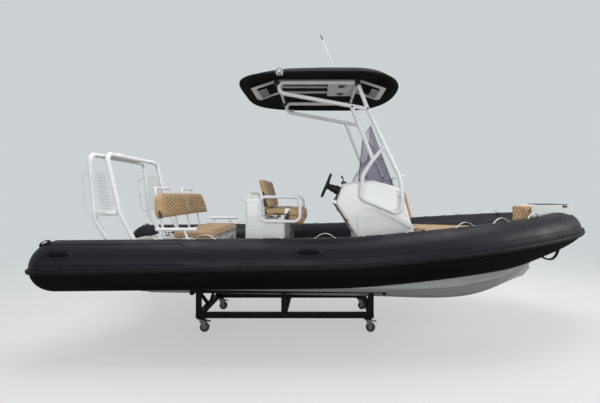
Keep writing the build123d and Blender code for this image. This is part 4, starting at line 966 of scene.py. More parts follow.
def quiltDepth(u, v, cellW, cellH, panel):
    # groove depth factor at a point of a panel: diamonds inside, one seam round it
    u0, u1, v0, v1 = panel
    cut = min(min(u - u0, u1 - u) + min(v - v0, v1 - v), 0.05) - 0.03      # clipped corners
    edge = min(u - u0, u1 - u, v - v0, v1 - v, cut)
    if edge < 0:
        return 0.0
    soft = smoothStep(edge / 0.010)
    a, b = (u - u0) / cellW + (v - v0) / cellH, (u - u0) / cellW - (v - v0) / cellH
    span = 1 / math.hypot(1 / cellW, 1 / cellH)
    d = min(abs(a - round(a)), abs(b - round(b))) * span
    return soft * (1.35 * math.exp(-(d / 0.0070) ** 2) - 0.45)


def dressPad(blank, low, high, rest, name, k):
    # cap the swelling, keep inside the CAD box, add a level of smoothness, then sew the channels in
    for v, r in zip(blank.data.vertices, rest):
        move = v.co - r
        if move.length > cushions["cap"]:
            move = move.normalized() * cushions["cap"]
        v.co = r + move
    level = blank.modifiers.new("level", "SUBSURF")
    level.levels = 1
    level.render_levels = 1
    mesh = plainMesh(blank)
    bpy.data.objects.remove(blank)
    middle = (low + high) / 2
    normals = [v.normal.copy() for v in mesh.vertices]
    groove = mesh.attributes.new("groove", "FLOAT", "POINT")
    for v, normal in zip(mesh.vertices, normals):
        depth = 0.0
        for facing, across, up, cellW, cellH, panels in k.get("quilt", []):
            share = normal.dot(Vector(facing).normalized())
            if share > 0.75:
                u = (v.co - middle).dot(Vector(across).normalized())
                w = (v.co - Vector((middle.x, middle.y, low.z))).dot(Vector(up).normalized())
                depth += sum(quiltDepth(u, w, cellW, cellH, panel)
                             for panel in panels) * min(1, (share - 0.75) / 0.15)
        if "ribs" in k:
            facing, along, pitch = k["ribs"]
            share = normal.dot(Vector(facing))
            t = (v.co - middle).dot(Vector(along)) / pitch
            if share > 0.5:
                depth = max(depth, 0.8 * math.exp(-((t - round(t)) * pitch / 0.006) ** 2)
                            * min(1, (share - 0.5) / 0.3))
        # seam where the top panel meets the side
        rim = (abs(normal.z) if "ribs" in k
               else max(abs(normal.x), abs(normal.y) if name == "bow_back" else 0))
        piping = 0.5 * math.exp(-((rim - 0.72) / 0.10) ** 2)
        if "belt" in k:
            piping = max(piping, 0.9 * math.exp(-((v.co.z - k["belt"]) / 0.007) ** 2))
        if piping > 0.02:
            depth = max(depth, piping)
        v.co = v.co - normal * (0.0065 * depth)
        # the same depth drives the tan vinyl's painted shade in the channels and painted highlight on the
        # puffed squares
        groove.data[v.index].value = depth
        for i in range(3):
            v.co[i] = min(max(v.co[i], low[i]), high[i])
        v.co.x = low.x + (v.co.x - low.x) * k.get("deep", 1) + k.get("lean", 0) * (middle.z - v.co.z)
        v.co.y *= k.get("wide", 1)
        v.co.z = high.z - (high.z - v.co.z) * k.get("tall", 1)
    for face in mesh.polygons:
        face.use_smooth = True
    piece = placePiece(name + "Pad", mesh, tanVinyl, k["body"])
    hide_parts(name)
    return piece


def makeCushions():
    blanks = {name: startPad(name, k) for name, k in padList.items()}
    rests = {name: [v.co.copy() for v in b[0].data.vertices] for name, b in blanks.items()}
    for blank, *corners in blanks.values():
        cloth = blank.modifiers.new("swell", "CLOTH")
        cloth.settings.use_pressure = True
        cloth.settings.uniform_pressure_force = cushions["pressure"]
        cloth.settings.effector_weights.gravity = 0
        cloth.settings.quality = 4
        cloth.settings.mass = 0.4
        cloth.point_cache.frame_start = 1
        cloth.point_cache.frame_end = cushions["frames"]
    for f in range(1, cushions["frames"] + 1):
        scene.frame_set(f)
    swollen = {name: plainMesh(b[0]) for name, b in blanks.items()}
    scene.frame_set(1)
    for name, (blank, *corners) in blanks.items():
        blank.modifiers.clear()
        blank.data = swollen[name]
    return {name: dressPad(*b, rests[name], name, padList[name]) for name, b in blanks.items()}


padPieces = makeCushions()
print("cushions made")

canopy = {"middleX": 0.15, "fore": 0.622, "aft": 1.352, "half": 0.892, "foreRound": 2.3, "aftRound": 4.0,
          "edgeZ": 2.987, "crown": 0.1235, "thick": 0.004, "rings": 26, "around": 128, "hem": 0.010}


def canopyEdge(a, share=1.0):
    # plan outline at angle a; share shrinks it towards the crown
    k = canopy
    n = k["foreRound"] if math.cos(a) > 0 else k["aftRound"]
    reach = k["fore"] if math.cos(a) > 0 else k["aft"]
    c, t = abs(math.cos(a)), abs(math.sin(a))
    x = reach * c ** (2 / n) * (1 if math.cos(a) > 0 else -1)
    y = k["half"] * t ** (2 / n) * (1 if math.sin(a) > 0 else -1)
    return Vector((k["middleX"] + x * share, y * share, 0))


def canopyHeight(share):
    # rises fast from the edge, then nearly flat over the frame
    t = 1 - share
    return canopy["crown"] * (1 - (1 - min(t / 0.33, 1)) ** 2.0) + 0.003 * smoothStep((t - 0.4) / 0.6)


def makeCanopy():
    k = canopy
    form = verts, faces = [], []
    for i in range(k["rings"] + 1):
        share = 1 - i / k["rings"]
        for j in range(k["around"]):
            a = 2 * math.pi * j / k["around"]
            point = canopyEdge(a, share)
            # the cloth dips a little between the frame's rails and is taut over them
            lift = canopyHeight(share)
            furrow = 0.5 - 0.5 * math.cos(point.y * 4 * math.pi / 0.5)
            dip = 0.006 * math.sin(math.pi * min(max(share, 0), 1)) ** 2 * furrow
            wave = 0.0022 * noise.noise(point * 3.5) * (1 if 0.05 < share < 0.97 else 0)
            point.z = k["edgeZ"] + lift - dip * (1 if lift > 0.05 else 0) + wave
            verts.append(point)
    ringFaces(faces, 0, k["rings"] + 1, k["around"])
    sheet = openPiece("canopySheet", form, canvas, thick=k["thick"])
    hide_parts("canopy")
    # hem: a pole in a sleeve round the edge, and seams over the top and underneath
    hemPath = [canopyEdge(2 * math.pi * j / 160) + Vector((0, 0, k["edgeZ"])) for j in range(160)]
    hemForm = sweepMesh(([], []), hemPath, circle(k["hem"], 10), closed=True)
    hem = addPiece("canopyHem", hemForm, canvas)
    strips = [], []
    for y in (-0.30, 0.30):
        path = []
        front = k["middleX"] + k["fore"] * max(0.0, 1 - abs(y / k["half"]) ** 2.3) ** (1 / 2.3)
        aft = k["middleX"] - k["aft"] * (max(0.0, 1 - abs(y / k["half"]) ** 4)) ** 0.25
        for i in range(61):
            x = aft + (front - aft) * i / 60
            n = k["foreRound"] if x > k["middleX"] else k["aftRound"]
            reach = k["fore"] if x > k["middleX"] else k["aft"]
            low, high = 0.0, 1.0
            for step in range(24):
                mid = (low + high) / 2
                inside = ((abs(x - k["middleX"]) / (reach * mid + 1e-9)) ** n
                          + (abs(y) / (k["half"] * mid + 1e-9)) ** n < 1)
                low, high = (low, mid) if inside else (mid, high)
            path.append(Vector((x, y, k["edgeZ"] + canopyHeight(high) - 0.003)))
        sweepMesh(strips, path, flat(0.022, 0.005), side=(0, 1, 0))
    seams = addPiece("canopySeams", strips, canvas)


makeCanopy()


def itemTree(name, shape):
    # puts one small item on each vertex of a mesh, its axis along the vertex's "facing"
    tree = bpy.data.node_groups.new(name, "GeometryNodeTree")
    sockets = tree.interface
    sockets.new_socket("Geometry", in_out="INPUT", socket_type="NodeSocketGeometry")
    for label in ("Radius", "Depth"):
        sockets.new_socket(label, in_out="INPUT", socket_type="NodeSocketFloat").default_value = 0.004
    sockets.new_socket("Finish", in_out="INPUT", socket_type="NodeSocketMaterial")
    sockets.new_socket("Geometry", in_out="OUTPUT", socket_type="NodeSocketGeometry")

    def add(kind, **values):
        node = tree.nodes.new(kind)
        for label, value in values.items():
            node.inputs[label].default_value = value
        return node

    given, result = add("NodeGroupInput"), add("NodeGroupOutput")
    size = add("ShaderNodeCombineXYZ", X=1, Y=1, Z=1)
    if shape == "dome":
        item = add("GeometryNodeMeshUVSphere", Segments=10, Rings=6)
        squash = add("ShaderNodeMath")
        squash.operation = "DIVIDE"
        joins = [(given, "Depth", squash, 0), (given, "Radius", squash, 1), (squash, 0, size, "Z")]
    else:
        item = add("GeometryNodeMeshCylinder", Vertices=6 if shape == "thread" else 16)
        joins = [(given, "Depth", item, "Depth")]
    facing = add("GeometryNodeInputNamedAttribute", Name="facing")
    facing.data_type = "FLOAT_VECTOR"
    turn = add("FunctionNodeAlignEulerToVector")
    turn.axis = "Z"
    place, real = add("GeometryNodeInstanceOnPoints"), add("GeometryNodeRealizeInstances")
    smooth, paint = add("GeometryNodeSetShadeSmooth"), add("GeometryNodeSetMaterial")
    joins += [(given, "Radius", item, "Radius"), (given, "Geometry", place, "Points"),
              (item, "Mesh", place, "Instance"), (facing, "Attribute", turn, "Vector"),
              (turn, "Rotation", place, "Rotation"), (size, 0, place, "Scale"),
              (place, "Instances", real, "Geometry"), (real, "Geometry", smooth, "Geometry"),
              (smooth, "Geometry", paint, "Geometry"), (given, "Finish", paint, "Material"),
              (paint, "Geometry", result, "Geometry")]
    for source, sent, target, taken in joins:
        tree.links.new(source.outputs[sent], target.inputs[taken])
    return tree


itemTrees = {shape: itemTree(shape + "Items", shape) for shape in ("dome", "peg", "thread")}


def repeatItems(name, places, shape, radius, depth, finish, body="boat"):
    mesh = bpy.data.meshes.new(name + "Places")
    mesh.from_pydata([tuple(p) for p, way in places], [], [])
    data = mesh.attributes.new("facing", "FLOAT_VECTOR", "POINT")
    for i, (p, way) in enumerate(places):
        data.data[i].vector = way
    holder = bpy.data.objects.new(name + "Places", mesh)
    scene.collection.objects.link(holder)
    tree = itemTrees[shape]
    modifier = holder.modifiers.new("items", "NODES")
    modifier.node_group = tree
    values = {"Radius": radius, "Depth": depth, "Finish": finish}
    for item in tree.interface.items_tree:
        if item.in_out == "INPUT" and item.name in values:
            modifier[item.identifier] = values[item.name]
    made = plainMesh(holder)
    bpy.data.objects.remove(holder)
    return placePiece(name, made, finish, body)


def evenly(path, pitch, closed=False):
    # (point, heading) every pitch metres along a path
    pts = [Vector(p) for p in path] + ([Vector(path[0])] if closed else [])
    out, left = [], 0.0
    for a, b in zip(pts, pts[1:]):
        span = (b - a).length
        if span < 1e-9:
            continue
        while left <= span:
            out.append((a.lerp(b, left / span), (b - a).normalized()))
            left += pitch
        left -= span
    return out


def stitchOn(padName, loops, facing, pitch=0.010):
    # thread stitches laid on a pad along loops of points, found by looking back along the facing direction
    piece = padPieces[padName]
    tree = BVHTree.FromPolygons([v.co.copy() for v in piece.data.vertices],
                                [tuple(f.vertices) for f in piece.data.polygons])
    way = Vector(facing).normalized()
    spots = []
    for loop in loops:
        for point, ahead in evenly(loop, pitch, closed=True):
            hit, normal = tree.ray_cast(point + way * 0.15, -way)[:2]
            if hit is not None:
                along = (ahead - normal * ahead.dot(normal)).normalized()
                spots.append((hit + normal * 0.0004, along))
    return spots


def sewPads():
    byBody = {}
    for name, k in padList.items():
        low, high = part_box(name)
        middle = (low + high) / 2
        for facing, across, up, *cells, panels in k.get("quilt", []):
            a, b = Vector(across).normalized(), Vector(up).normalized()
            start = Vector((middle.x, middle.y, low.z))
            loops = []
            for u0, u1, v0, v1 in panels:
                grow = 0.012
                corners = [(u0 - grow, v0 - grow), (u1 + grow, v0 - grow), (u1 + grow, v1 + grow),
                           (u0 - grow, v1 + grow)]
                base = [middle + a * (u + (start - middle).dot(a)) + b * (v + (start - middle).dot(b))
                        for u, v in corners]
                loops.append(base)
            byBody.setdefault(k["body"], []).extend(stitchOn(name, loops, facing))
        if "ribs" in k and name != "bolster":
            r = 0.028
            x0, x1, y0, y1 = low.x + r, high.x - r, low.y + r, high.y - r
            if name == "bow_cushion":
                loop = [(low.x + r, -0.6 + r, high.z), (high.x - r, -0.25 + r, high.z),
                        (high.x - r, 0.25 - r, high.z), (low.x + r, 0.6 - r, high.z)]
            else:
                loop = [(x0, y0, high.z), (x1, y0, high.z), (x1, y1, high.z), (x0, y1, high.z)]
            byBody.setdefault(k["body"], []).extend(stitchOn(name, [loop], (0, 0, 1)))
    for body, spots in byBody.items():
        repeatItems("stitches_" + body, spots, "thread", 0.0010, 0.0062, threadFinish, body)


sewPads()
print("stitches made")


def turned(form, rings, centre, axis, around=40):
    # a turned shape: rings of (radius, distance along axis)
    verts, faces = form
    base = len(verts)
    way = Vector(axis).normalized()
    one = way.cross(toPort if abs(way.y) < 0.9 else toBow).normalized()
    two = way.cross(one)
    for r, d in rings:
        for j in range(around):
            a = 2 * math.pi * j / around
            verts.append(Vector(centre) + way * d + (one * math.cos(a) + two * math.sin(a)) * max(r, 0.0))
    ringFaces(faces, base, len(rings), around, True, True)


def block(form, centre, across, up, out, w, h, d, bevel=0.004):
    # a plate with a chamfered front: w across, h up, d out from its foot
    verts, faces = form
    base = len(verts)
    for level, inset in ((0.0, 0.0), (d - bevel, 0.0), (d, bevel)):
        for a, b in ((-1, -1), (1, -1), (1, 1), (-1, 1)):
            verts.append(centre + across * (a * (w / 2 - inset)) + up * (b * (h / 2 - inset)) + out * level)
    faces.append((base + 3, base + 2, base + 1, base))
    ringFaces(faces, base, 3, 4)
    faces.append((base + 8, base + 9, base + 10, base + 11))


def plate(form, centre, out, w, h, d, bevel=0.004):
    # a block set square on a surface: w along the boat, or across it on a face to the bow or stern;
    # h up, or across the boat on a flat top
    up = toPort if abs(out.z) > 0.5 else toSky
    block(form, Vector(centre), out.cross(up), up, out, w, h, d, bevel)


helm = {"centre": (-0.132, 0, 1.776), "tilt": 22.4, "rim": 0.153, "grip": 0.0195, "spoke": 0.030}
helmTilt = math.radians(helm["tilt"])
helmAxis = Vector((-math.cos(helmTilt), 0, math.sin(helmTilt)))


def makeWheel():
    k = helm
    c, axis = Vector(k["centre"]), helmAxis
    one, two = toPort, axis.cross(toPort).normalized()
    if two.z < 0:
        two = -two
    form = verts, faces = [], []
    count, around = 96, 16
    for i in range(count):
        a = 2 * math.pi * i / count
        out = one * math.cos(a) + two * math.sin(a)
        swell = 1 + 0.06 * math.cos(3 * (a - math.pi / 2)) + 0.03 * math.cos(18 * a)
        for j in range(around):
            b = 2 * math.pi * j / around
            verts.append(c + out * (k["rim"] + k["grip"] * swell * math.cos(b))
                         + axis * (k["grip"] * 0.92 * swell * math.sin(b)))
    ringFaces(faces, 0, count, around, loop=True)
    for i in range(3):
        a = math.pi / 2 + 2 * math.pi * i / 3
        out = one * math.cos(a) + two * math.sin(a)
        path = [c + out * r - axis * d for r, d in ((0.02, 0.022), (0.06, 0.021), (0.10, 0.014),
                                                    (0.13, 0.004), (k["rim"], 0.0))]
        side = axis.cross(out)
        sweepMesh(form, path, flat(k["spoke"], 0.009), side=side)
    turned(form, [(0.026, -0.0355), (0.044, -0.033), (0.047, -0.022), (0.046, -0.012), (0.040, -0.004),
                  (0.030, 0.001), (0.0, 0.002)], c, axis)
    piece = addPiece("helmWheel", form, helmBlack, body="helm_wheel", crisp=50)
    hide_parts("steering_wheel")


makeWheel()

latchRings = [(0.022, 0.0), (0.022, 0.005), (0.017, 0.008), (0.0, 0.008)]
dash = {"foot": (-0.030, 1.547), "top": (0.061, 1.789), "panelH": 0.19, "dialU": (0.18, 0.29)}


def makeDash():
    foot, top = Vector((dash["foot"][0], 0, dash["foot"][1])), Vector((dash["top"][0], 0, dash["top"][1]))
    up = (top - foot).normalized()
    out = Vector((-up.z, 0, up.x))
    across = -toPort
    middle = foot.lerp(top, 0.5)
    form = [], []
    # dark panel in two halves, either side of the wheel's column
    for side in (-1, 1):
        block(form, middle + across * (side * 0.235), across, up, out, 0.25, dash["panelH"], 0.006, 0.002)
    # column bezel, switch rows and throttle base
    c, axis = Vector(helm["centre"]), helmAxis
    turned(form, [(0.062, -0.155), (0.062, -0.140), (0.055, -0.130), (0.048, -0.128), (0.0, -0.128)], c,
           axis)
    turned(form, [(0.050, -0.090), (0.052, -0.084), (0.050, -0.078), (0.040, -0.076)], c, axis)
    addPiece("dashPanel", form, helmBlack, crisp=30)
    form = [], []
    block(form, middle + across * -0.235 + out * 0.006, across, up, out, 0.215, 0.135, 0.004, 0.002)
    glass = newFinish("displayGlass", "helm_black", (0.012, 0.014, 0.018), 0.08, coat=0.8, coatRough=0.03)
    roughness(glass, noiseValue(glass, 60, 4), 0.05, 0.12)
    addPiece("dashDisplay", form, glass, crisp=30)
    form = [], []
    dials = [middle + across * u + up * 0.045 + out * 0.006 for u in dash["dialU"]]
    for dial in dials:
        turned(form, [(0.038, 0.0), (0.038, 0.010), (0.034, 0.013), (0.031, 0.009), (0.0, 0.009)], dial,
               out, 32)
    for i in range(5):
        block(form, middle + across * (0.145 + i * 0.045) + up * -0.055 + out * 0.006, across, up, out,
              0.028, 0.036, 0.010, 0.004)
    addPiece("dashGauges", form, helmBlack, crisp=35)
    ringFinish = newFinish("gaugeRing", "caster_steel", (0.12, 0.12, 0.125), 0.35, metallic=1.0)
    roughness(ringFinish, noiseValue(ringFinish, 120, 4), 0.18, 0.35)
    form = [], []
    for dial in dials:
        turned(form, [(0.036, 0.008), (0.040, 0.009), (0.040, 0.014), (0.037, 0.0155), (0.034, 0.014),
                      (0.034, 0.009)], dial, out, 32)
    addPiece("gaugeRings", form, ringFinish)
    # throttle at the starboard side of the dash's top edge
    form = [], []
    spot = Vector((0.078, -0.315, 1.789))
    turned(form, [(0.034, -0.010), (0.034, 0.018), (0.028, 0.028), (0.0, 0.030)], spot, (0, 0, 1), 28)
    lever = roundCorners([spot + Vector((0, -0.020, 0.012)), spot + Vector((-0.012, -0.026, 0.060)),
                          spot + Vector((-0.020, 0.012, 0.082))], 0.015)
    sweepMesh(form, lever, flat(0.016, 0.010))
    turned(form, [(0.006, -0.022), (0.013, -0.018), (0.015, 0.0), (0.013, 0.018), (0.006, 0.022)],
           spot + Vector((-0.020, 0.016, 0.084)), (0, 1, 0), 20)
    addPiece("throttle", form, helmBlack, crisp=40)


makeDash()

hatchFit = {"knee": (0.206, 1.178), "run": 0.050, "width": 0.420, "length": 0.330, "band": 0.020,
            "proud": 0.009}


def makeHatchTrim():
    k = hatchFit
    knee, foot = Vector((k["knee"][0], 0, k["knee"][1])), Vector((dash["foot"][0], 0, dash["foot"][1]))
    up = (foot - knee).normalized()
    out = Vector((-up.z, 0, up.x))
    across = -toPort
    start = knee + up * k["run"]
    form = [], []
    gap = 0.007
    # dark rubber trim on the console round three sides of the hatch
    for side in (-1, 1):
        block(form, start + across * (side * (k["width"] / 2 + gap + k["band"] / 2 + 0.021))
              + up * (k["length"] / 2 + 0.03), across, up, out, k["band"], k["length"] - 0.02,
              k["proud"], 0.003)
    block(form, start + up * (k["length"] + gap + k["band"] / 2), across, up, out, k["width"] + 0.11,
          k["band"], k["proud"], 0.003)
    # kick strip down the console's aft edges
    for side in (-1, 1):
        block(form, knee.lerp(foot, 0.52) + across * (side * 0.372), across, up, out, 0.026, 0.40, 0.007,
              0.002)
    addPiece("hatchTrim", form, ribbedRubber, crisp=30)
    # latch on the hatch itself
    form = [], []
    spot = start + up * (k["length"] - 0.045) + out * 0.0125
    turned(form, [(0.030, 0.0), (0.030, 0.004), (0.026, 0.006), (0.0, 0.006)], spot, out, 32)
    block(form, spot + out * 0.006, across, up, out, 0.040, 0.012, 0.006, 0.003)
    addPiece("hatchLatch", form, helmBlack, body="hatch_door", crisp=30)


makeHatchTrim()

screen = {"knobR": 0.011, "rail": 0.0125}


def makeScreenFittings():
    spots = []
    for side in (-1, 1):
        for x, z in ((0.355, 1.863), (0.549, 1.862), (0.636, 1.832)):
            spots.append((Vector((x, side * 0.4025, z)), toPort * side))
    foot, top = Vector((0.672, 0, 1.784)), Vector((0.403, 0, 2.490))
    up = (top - foot).normalized()
    out = Vector((up.z, 0, -up.x))
    for y in (-0.30, -0.10, 0.10, 0.30):
        spots.append((foot + up * 0.055 + Vector((0, y, 0)) + out * 0.0015, out))
    repeatItems("screenKnobs", spots, "dome", screen["knobR"], 0.008, helmBlack)
    # handrail ahead of the screen's foot
    form = [], []
    path = roundCorners([(0.655, -0.31, 1.750), (0.700, -0.31, 1.868), (0.835, -0.30, 1.893),
                         (0.835, 0.30, 1.893), (0.700, 0.31, 1.868), (0.655, 0.31, 1.750)],
                         [0.03, 0.05, 0.05, 0.03])
    sweepMesh(form, path, circle(screen["rail"], 14))
    addPiece("screenRail", form, powderCoat)
    # bright edge trim along the screen's raked edges
    form = [], []
    for side in (-1, 1):
        y = side * 0.399
        path = [Vector((0.3365, y, 1.836)), Vector((0.403, y, 2.491)),
                Vector((0.405, side * 0.30, 2.4915)), Vector((0.405, 0, 2.4915))]
        sweepMesh(form, path, flat(0.010, 0.010))
    edge = newFinish("screenEdge", "helm_black", (0.16, 0.15, 0.18), 0.2)
    roughness(edge, noiseValue(edge, 80, 4), 0.15, 0.3)
    addPiece("screenEdges", form, edge, crisp=40)


makeScreenFittings()
print("console dressed")

fittings = {"cornerX": (-0.729, 0.228), "cornerZ": 2.985, "clampR": 0.036, "clampLong": 0.032,
            "rivet": 0.0045}


def canopyFittings():
    k = fittings
    form = [], []
    for x in k["cornerX"]:
        for side in (-1, 1):
            for y, r in ((0.500, k["clampR"]), (0.455, k["clampR"] * 0.80)):
                turned(form, [(0.026, -k["clampLong"]), (r * 0.92, -k["clampLong"]),
                              (r, -k["clampLong"] * 0.7), (r, k["clampLong"] * 0.7),
                              (r * 0.92, k["clampLong"]), (0.026, k["clampLong"])],
                       (x, side * y, k["cornerZ"]), (0, 1, 0), 24)
    for x, z in ((0.347, 2.673), (0.162, 2.697)):
        for side in (-1, 1):
            turned(form, [(0.0, 0.0), (0.012, 0.0), (0.012, 0.006), (0.006, 0.010), (0.0, 0.010)],
                   (x, side * 0.5235, z), (0, side, 0), 16)
    addPiece("frameClamps", form, clampFinish, crisp=35)
    # rivets along the hem and screws of the electronics box
    spots = []
    for i in range(44):
        edge = canopyEdge(2 * math.pi * i / 44, 0.955)
        spots.append((Vector((edge.x, edge.y, canopy["edgeZ"] + canopyHeight(0.955) - canopy["thick"])),
                      -toSky))
    repeatItems("canopyRivets", spots, "dome", k["rivet"], 0.003, zincSteel)
    low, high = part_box("electronics_box")
    spots = []
    for x in (low.x + 0.02, (low.x + high.x) / 2, high.x - 0.02):
        for y in (low.y + 0.02, -0.1, 0.1, high.y - 0.02):
            spots.append((Vector((x, y, low.z)), -toSky))
    repeatItems("boxScrews", spots, "dome", 0.0055, 0.003, zincSteel)
    # speaker grilles and a dome lamp let into the box
    form = [], []
    for y in (-0.17, 0.17):
        turned(form, [(0.075, 0.0), (0.075, 0.006), (0.068, 0.009), (0.060, 0.006), (0.0, 0.004)],
               (0.057, y, low.z), (0, 0, -1), 40)
    addPiece("boxSpeakers", form, lampPlastic, crisp=30)
    form = [], []
    for y in (-0.17, 0.17):
        for r in (0.016, 0.030, 0.044):
            turned(form, [(r - 0.003, 0.0), (r - 0.003, 0.0078), (r + 0.003, 0.0078), (r + 0.003, 0.0)],
                   (0.057, y, low.z), (0, 0, -1), 32)
    addPiece("speakerRings", form, clampFinish)
    # lacing plates that hold the cloth to the frame's ends
    form = [], []
    cords = [], []
    for x0, z0, x1, z1 in ((-1.010, 2.984, -0.905, 3.019), (0.450, 3.015, 0.545, 2.984)):
        a, b = Vector((x0, 0, z0)), Vector((x1, 0, z1))
        along = (b - a).normalized()
        down = Vector((along.z, 0, -along.x))
        centre = a.lerp(b, 0.5)
        block(form, centre, along, toPort, down, (b - a).length, 0.30, 0.005, 0.002)
        for i in range(4):
            y0, y1 = -0.14 + i * 0.07, -0.07 + i * 0.07
            for p0, p1 in ((-1, 1), (1, -1)):
                ends = [centre + along * (p0 * 0.045) + Vector((0, y0, 0)) + down * 0.0065,
                        centre + along * (p1 * 0.045) + Vector((0, y1, 0)) + down * 0.0065]
                sweepMesh(cords, ends, circle(0.0022, 6))
    addPiece("lacingPlates", form, webbing, crisp=30)
    addPiece("lacing", cords, canvas)
    # lamp lenses
    form = [], []
    for side in (-1, 1):
        turned(form, [(0.026, -0.004), (0.026, 0.002), (0.022, 0.005), (0.0, 0.007)],
               (-0.657, side * 0.924, 2.985), (0, side, 0), 28)
    glassy = newFinish("lensClear", "lamp_white", (0.55, 0.57, 0.58), 0.08, coat=0.6, coatRough=0.03)
    roughness(glassy, noiseValue(glassy, 90, 3), 0.05, 0.14)
    addPiece("lampLenses", form, glassy)
    form = [], []
    for side in (-1, 1):
        turned(form, [(0.027, -0.004), (0.030, 0.003), (0.027, 0.0045), (0.0255, 0.001)],
               (-0.657, side * 0.924, 2.985), (0, side, 0), 28)
    turned(form, [(0.031, 0.0), (0.031, 0.012), (0.028, 0.014)], (-2.7695, -0.2, 2.133), (0, 0, 1), 28)
    addPiece("lampRings", form, helmBlack)
    # antenna: black ferrule and tip
    lean = math.radians(22)
    way = Vector((-math.sin(lean), 0, math.cos(lean)))
    foot = Vector((0.041, 0, 3.157))
    form = [], []
    turned(form, [(0.0, 0.592), (0.0072, 0.592), (0.0072, 0.660), (0.004, 0.667), (0.0, 0.669)], foot, way,
           14)
    turned(form, [(0.013, 0.0), (0.013, 0.03), (0.008, 0.055), (0.0065, 0.056)], foot, way, 18)
    addPiece("antennaTip", form, helmBlack, crisp=35)


canopyFittings()


def seatFittings():
    form = [], []
    high, low = Vector((-0.912, 0, 1.690)), Vector((-0.838, 0, 1.425))
    up = (high - low).normalized()
    for side in (-1, 1):
        out, across, y = toPort * side, Vector((side * up.z, 0, -side * up.x)), Vector((0, side * 0.4035, 0))
        block(form, high + (low - high) * 0.16 + y, across, up, out, 0.022, 0.085, 0.010, 0.003)
        block(form, high.lerp(low, 0.5) + y, across, up, out, 0.009, 0.27, 0.008, 0.002)
        plate(form, (-0.858, side * 0.402, 1.432), out, 0.055, 0.034, 0.012, 0.004)
        # the last bar, low and thin under the cushion, is a dark strip put where cushion meets pod: painted
        # shadow of that gap
        for x0, x1, z, h in ((-0.775, -0.700, 1.418, 0.018), (-0.690, -0.628, 1.418, 0.016),
                             (-0.735, -0.690, 1.394, 0.018), (-0.96, -0.80, 1.398, 0.008)):
            plate(form, ((x0 + x1) / 2, side * 0.4165, z), out, x1 - x0, h, 0.014, 0.002)
    addPiece("seatHinges", form, clampFinish, crisp=30)
    form = [], []
    for side in (-1, 1):
        plate(form, (-0.612, side * 0.4295, 1.10), toPort * side, 0.052, 0.46, 0.006, 0.002)
    front = Vector((0.500, 0, 0.041)).normalized()
    up = Vector((-0.041, 0, 0.500)).normalized()
    block(form, Vector((-0.619, 0, 1.03)), toPort, up, front, 0.66, 0.22, 0.010, 0.004)
    addPiece("footGrips", form, greyGrip, crisp=30)
    # plinth under the helm cushion
    plinth = [], []
    plate(plinth, (-0.84, 0, 1.401), toSky, 0.40, 0.76, 0.030, 0.006)
    addPiece("seatPlinth", plinth, gelcoat, crisp=30)
    # moulded access panel and pull on the pod's sides and back
    form = [], []
    for side in (-1, 1):
        plate(form, (-0.865, side * 0.4295, 1.10), toPort * side, 0.33, 0.40, 0.005, 0.004)
    plate(form, (-1.1245, 0, 1.25), -toBow, 0.58, 0.42, 0.006, 0.004)
    addPiece("podPanels", form, gelcoat, crisp=30)
    form = [], []
    for y in (-0.2, 0.2):
        turned(form, [(0.024, 0.0), (0.024, 0.005), (0.019, 0.008), (0.0, 0.008)], (-1.1305, y, 1.42),
               (-1, 0, 0), 24)
    turned(form, [(0.013, 0.0), (0.013, 0.004), (0.009, 0.009), (0.0, 0.010)], (0.105, -0.4198, 1.347),
           (0, -1, 0), 20)
    addPiece("podLatches", form, helmBlack, crisp=30)
    red = newFinish("stopRed", "helm_black", (0.35, 0.012, 0.010), 0.35)
    roughness(red, noiseValue(red, 60, 3), 0.3, 0.45)
    form = [], []
    turned(form, [(0.010, 0.0), (0.011, 0.006), (0.008, 0.010), (0.0, 0.011)], (0.105, -0.4295, 1.347),
           (0, -1, 0), 20)
    addPiece("stopButton", form, red)


seatFittings()

skirt = {"proud": 0.012, "edge": 0.010, "line": ((0.235, 1.135), (0.235, 0.830), (1.000, 0.830),
                                                 (0.905, 1.205), (0.470, 1.452), (0.235, 1.452))}


def consoleSkirt():
    # a raised moulding on each side of the console, below the ledge
    form = verts, faces = [], []
    inner = [Vector(p) for p in skirt["line"]]
    centre = sum(inner, Vector((0, 0))) / len(inner)
    top = [p + (centre - p).normalized() * skirt["edge"] for p in inner]
    n = len(inner)
    for side in (-1, 1):
        base = len(verts)
        for ring, y in ((inner, 0.4190), (inner, 0.4190 + skirt["proud"] * 0.4),
                        (top, 0.4200 + skirt["proud"])):
            verts += [Vector((p.x, side * y, p.y)) for p in ring]
        ringFaces(faces, base, 3, n, True, True)
    addPiece("consoleSkirt", form, gelcoat, crisp=20)


consoleSkirt()
print("helm dressed")

stern = {"archY": 0.650, "feet": (-2.319, -2.598), "plateZ": 1.068}


def slotMiddle(z):
    # halfway between the arch's two legs at height z
    fore = -2.515 - (z - 1.450) * (2.673 - 2.515) / (2.125 - 1.450)
    aft = -2.795 - (z - 1.357) * (2.866 - 2.795) / (2.120 - 1.357)
    return (fore + aft) / 2


